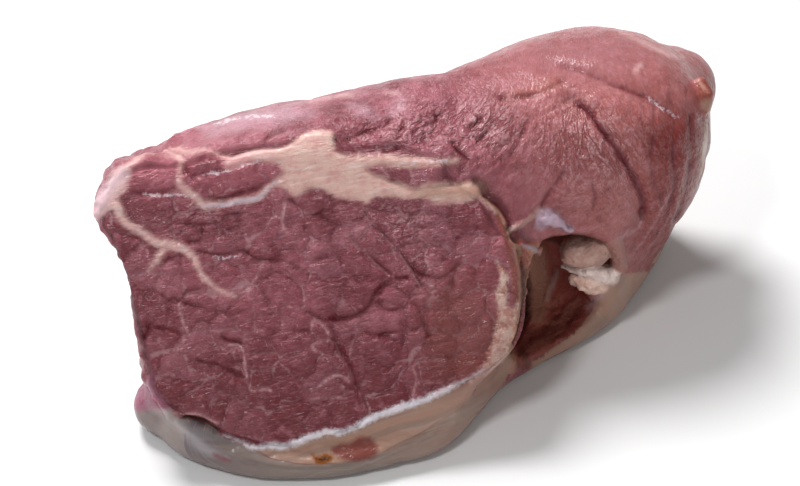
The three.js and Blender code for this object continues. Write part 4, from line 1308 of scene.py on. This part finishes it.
def lean_colour(n, t):
    """The lean: broad tones, mottling, the bundles of the cut face, frosted creases and fibres, with
    painted shade in borders, creases, the recess and low on the cut face, and painted glint specks.
    """
    low_face_shade = n.times(n.attribute("low_face_shade"), t.face)
    far_right = n.attribute("far_right")
    less_smooth = n.ramp(t.smooth, 0.0, 1.0, 1.0, 0.3)
    near_border = n.plus(n.attribute("border"), n.times(t.ragged, 1.2))
    open_places = n.ramp(n.noise(t.place, size=7.0, detail=2.0), 0.42, 0.6)
    crests = n.times(n.ramp(t.crinkle, 0.03, 0.085), n.ramp(t.crinkle, 0.17, 0.1))
    return n.coats(
        LEAN,
        (t.face, LEAN_FACE),
        (n.ramp(t.large, 0.35, 0.68, 0.0, 0.8), LEAN_DARK),
        (n.times(n.attribute("warm"), 0.85), LEAN_WARM),
        (far_right, LEAN_DEEP),
        (n.times(n.attribute("lobe_top"), 0.6), LEAN_TOP),
        # Painted shade: the cut face darker towards its bottom.
        (n.times(low_face_shade, 0.95), LEAN_DARK),
        (n.ramp(t.medium, 0.5, 0.72, 0.0, 0.36), LEAN_PALE),
        (n.times(n.ramp(t.medium, 0.5, 0.32, 0.0, 0.4), less_smooth), LEAN_DARK),
        # Painted shade in the open borders between bundles; the closed ones show a pale membrane.
        (n.times(n.ramp(near_border, 1.5, 0.0, 0.0, 0.62), open_places, t.clear), LEAN_DARK),
        (n.times(n.ramp(near_border, 0.6, 0.0, 0.0, 0.6), n.rest(open_places), t.clear), LEAN_PEARL),
        (n.times(n.ramp(t.streaks, 0.48, 0.74, 0.0, 0.2), n.rest(n.most(t.face, far_right))), LEAN_PEARL),
        # In the frosted places: painted shade in the fine creases and painted glint specks on their crests.
        (n.times(n.ramp(t.crinkle, 0.034, 0.0, 0.0, 0.52), t.frosted), LEAN_DARK),
        (n.times(crests, n.ramp(t.fine, 0.4, 0.6, 0.15, 0.95), t.frosted), LEAN_PEARL),
        (n.times(n.ramp(t.tone, 0.0, 1.2, 0.0, 0.24), t.clear), LEAN_PALE),
        (n.times(n.ramp(t.tone, 0.0, -1.2, 0.0, 0.36), t.clear), LEAN_DARK),
        (n.times(n.ramp(t.fine, 0.52, 0.34, 0.0, 0.25), n.rest(t.smooth)), LEAN_DARK),
        (n.ramp(t.fibres, 0.5, 0.72, 0.0, 0.32), LEAN_PALE),
        # More painted shade low on the cut face, then painted shade inside the recess.
        (n.times(low_face_shade, 0.25), DEEP_SHADE),
        (n.times(n.attribute("hollow_shade"), 0.9), HOLLOW_SHADE),
    )


def skin_colour(n, t):
    """The silverskin: blue on the left, peach on the right and below the cut face, with streaks."""
    return n.coats(
        n.mix(n.attribute("skin_left"), SKIN_GREY, SKIN_BLUE),
        (n.attribute("skin_right"), SKIN_PEACH),
        (n.times(t.inside("peach", soft=0.5, rough=0.4), 0.85), SKIN_PEACH),
        (n.ramp(t.layers, 0.48, 0.75, 0.0, 0.4), SKIN_PALE),
        (n.ramp(t.along_edge, 0.5, 0.64, 0.0, 0.6), SKIN_PALE),
        (n.ramp(t.along_edge, 0.46, 0.34, 0.0, 0.45), SKIN_GREY),
    )


def with_lines(n, t, colour):
    """The traced lines over a colour: painted shade in their grooves, with a pale membrane to one side of
    them.
    """
    shaky = n.times(t.ragged, 0.3)
    from_line = n.plus(t.line, shaky)
    beside = n.math("SUBTRACT", n.attribute("line"), n.times(t.deep, 1.1))
    from_membrane = n.plus(n.math("ABSOLUTE", beside), shaky)
    pale = n.attribute("line_pale")
    broken = n.ramp(n.noise(t.place, size=1.2, rough=0.7), 0.4, 0.6, 0.25, 1.0)
    return n.coats(
        colour,
        (n.times(n.ramp(from_membrane, 1.5, 0.2), pale, 0.3), LEAN_PALE),
        (n.times(n.ramp(from_membrane, 0.6, 0.04), pale, broken, 0.9), MEMBRANE),
        # Painted shade in the grooves: broad and dark, then narrow and darker in their middle.
        (n.times(n.ramp(from_line, 1.5, 0.0), n.ramp(t.deep, 0.0, 0.5, 0.0, 0.9)), LEAN_DARK),
        (n.times(n.ramp(from_line, 0.34, 0.04), n.ramp(t.deep, 0.1, 0.6, 0.0, 0.65)), DEEP_SHADE),
    )


def fat_colour(n, t):
    """The fat: cream and pink, rosier on the left and tan on the right, with white streaks."""
    return n.coats(
        n.mix(n.ramp(t.medium, 0.38, 0.72), FAT_CREAM, FAT_PINK),
        (n.times(n.attribute("fat_left"), 0.55), FAT_ROSE),
        (n.times(n.attribute("warm"), 0.6), FAT_TAN),
        (n.ramp(t.streaks, 0.5, 0.7, 0.0, 0.4), FAT_WHITE),
    )


def beef_colour(n, t):
    """All the colours over each other: lean, silverskin, fat, stained and painted places, thin dark lines of
    painted shade, and shreds.
    """
    rim_fat = n.mix(n.ramp(t.medium, 0.4, 0.58), RIM_TAN, RIM_WHITE)
    in_skin = t.inside("skin", soft=0.4, streaky=1.2)
    coloured_layers = [
        (n.times(t.inside(name, coloured_place["soft"], coloured_place["rough"]), coloured_place["shows"]), coloured_place["colour"])
        for name, coloured_place in COLOURED_PLACES.items()
    ]
    on_line = n.ramp(n.plus(t.line, n.times(t.ragged, 0.16)), 0.28, 0.05)
    uneven = n.ramp(t.medium, 0.36, 0.6, 1.0, 0.7)
    shreds = [(n.times(n.attribute(name), uneven), shade) for name, shade in SHRED_COLOURS.items()]
    return n.coats(
        n.mix(in_skin, with_lines(n, t, lean_colour(n, t)), skin_colour(n, t)),
        (n.times(t.inside("lump", soft=0.7), 0.8), LUMP_PINK),
        (n.times(t.inside("fat", soft=1.3, rough=0.5, streaky=2.0), 0.55), FAT_PINK),
        (t.inside("fat", soft=0.75, rough=0.5, streaky=1.5), fat_colour(n, t)),
        (n.times(t.inside("rim_fat", soft=0.8, rough=1.3, streaky=1.6), 0.92), rim_fat),
        (t.inside("white", soft=0.6, rough=1.3), RIM_EDGE),
        *coloured_layers,
        # Painted shade: thin dark lines along the creases on the silverskin.
        (n.times(on_line, t.deep, t.inside("skin", soft=0.3)), DEEP_SHADE),
        *shreds,
    )


def beef_relief(n, t):
    """The finest relief, weaker on silverskin, on fat and in the smooth places."""
    smooth = n.most(t.inside("skin", soft=0.3), n.times(t.inside("fat", soft=0.5, rough=0.4), 0.8))
    lively = n.rest(n.times(n.most(smooth, t.smooth), 0.8))
    rough_places = n.ramp(n.noise(t.place, size=7.0), 0.42, 0.62, 0.35, 1.0)
    textures = [
        (t.fine, 0.26),
        (t.fibres, n.times(rough_places, 0.42)),
        (t.medium, 0.55),
        (t.strokes, n.ramp(t.face, 0.0, 1.0, 0.3, 0.9)),
    ]
    height = n.times(n.ramp(t.crinkle, 0.0, 0.09, -0.34, 0.0), t.frosted)
    for texture, strength in textures:
        height = n.plus(height, n.times(n.swing(texture), strength))
    return n.bump(n.times(height, lively), 0.001)


def finish_beef():
    n = Nodes("raw_beef")
    t = Skin(n)
    relief = beef_relief(n, t)
    in_recess = n.most(t.inside("gap", soft=1.5), t.inside("hollow_red", soft=1.0))
    return n.surface(
        Base_Color=beef_colour(n, t),
        Roughness=n.ramp(n.noise(t.place, size=5.0), 0.35, 0.65, 0.32, 0.52),
        Normal=relief,
        Specular_IOR_Level=0.15,
        Subsurface_Weight=0.12,
        Subsurface_Radius=(0.0035, 0.0012, 0.001),
        Subsurface_Scale=1.0,
        Coat_Weight=n.ramp(in_recess, 0.0, 1.0, 0.45, 0.2),
        Coat_Roughness=0.1,
        Coat_Normal=relief,
    )


# The stage: the floor's half width and colour, the lamps with their places, widths and watts, what
# they point at and how strong the white surroundings are.
FLOOR_HALF = 3.0
FLOOR_COLOUR = (0.86, 0.86, 0.86)
LAMPS = [
    ("key", (-0.24, 0.36, 0.72), 0.32, 7.7),
    ("left", (-0.32, -0.36, 0.70), 0.15, 2.1),
    ("front", (0.5, -0.8, 0.5), 0.5, 1.0),
]
LIT_PLACE = Vector((0, 0, 0.03))
SURROUNDINGS = 0.22


def stage():
    """A plain pale floor, soft light from behind on the left, a smaller lamp on the left and a weak fill."""
    mesh = bpy.data.meshes.new("floor")
    square = [(x * FLOOR_HALF, y * FLOOR_HALF, 0) for x, y in ((-1, -1), (1, -1), (1, 1), (-1, 1))]
    mesh.from_pydata(square, [], [(0, 1, 2, 3)])
    floor = bpy.data.objects.new("floor", mesh)
    bpy.context.scene.collection.objects.link(floor)
    mesh.materials.append(Nodes("pale_floor").surface(Base_Color=FLOOR_COLOUR, Roughness=0.9))
    for name, place, width, power in LAMPS:
        light = bpy.data.lights.new(name, "AREA")
        light.shape = "DISK"
        light.size = width
        light.energy = power
        lamp = bpy.data.objects.new(name, light)
        lamp.location = place
        lamp.rotation_euler = (LIT_PLACE - Vector(place)).to_track_quat("-Z", "Y").to_euler()
        bpy.context.scene.collection.objects.link(lamp)
    world = bpy.data.worlds.new("studio")
    world.use_nodes = True
    world.node_tree.nodes["Background"].inputs["Color"].default_value = (1, 1, 1, 1)
    world.node_tree.nodes["Background"].inputs["Strength"].default_value = SURROUNDINGS
    bpy.context.scene.world = world
    bpy.context.scene.view_settings.view_transform = "Standard"


def camera(move):
    data = bpy.data.cameras.new("camera")
    data.lens = LENS
    data.sensor_width = SENSOR
    lens = bpy.data.objects.new("camera", data)
    rotation = Matrix((Vector((1, 0, 0)), Vector(CAMERA_UP), Vector(TOWARDS_CAMERA))).transposed()
    place = Vector((CAMERA_AT + move) / MM_PER_M)
    lens.matrix_world = Matrix.Translation(place) @ rotation.to_4x4()
    bpy.context.scene.collection.objects.link(lens)
    bpy.context.scene.camera = lens


meat, to_cad = beef()
meat.data.materials.append(finish_beef())
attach(meat, "root")
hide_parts("beef_tenderloin")
camera(to_cad)
stage()
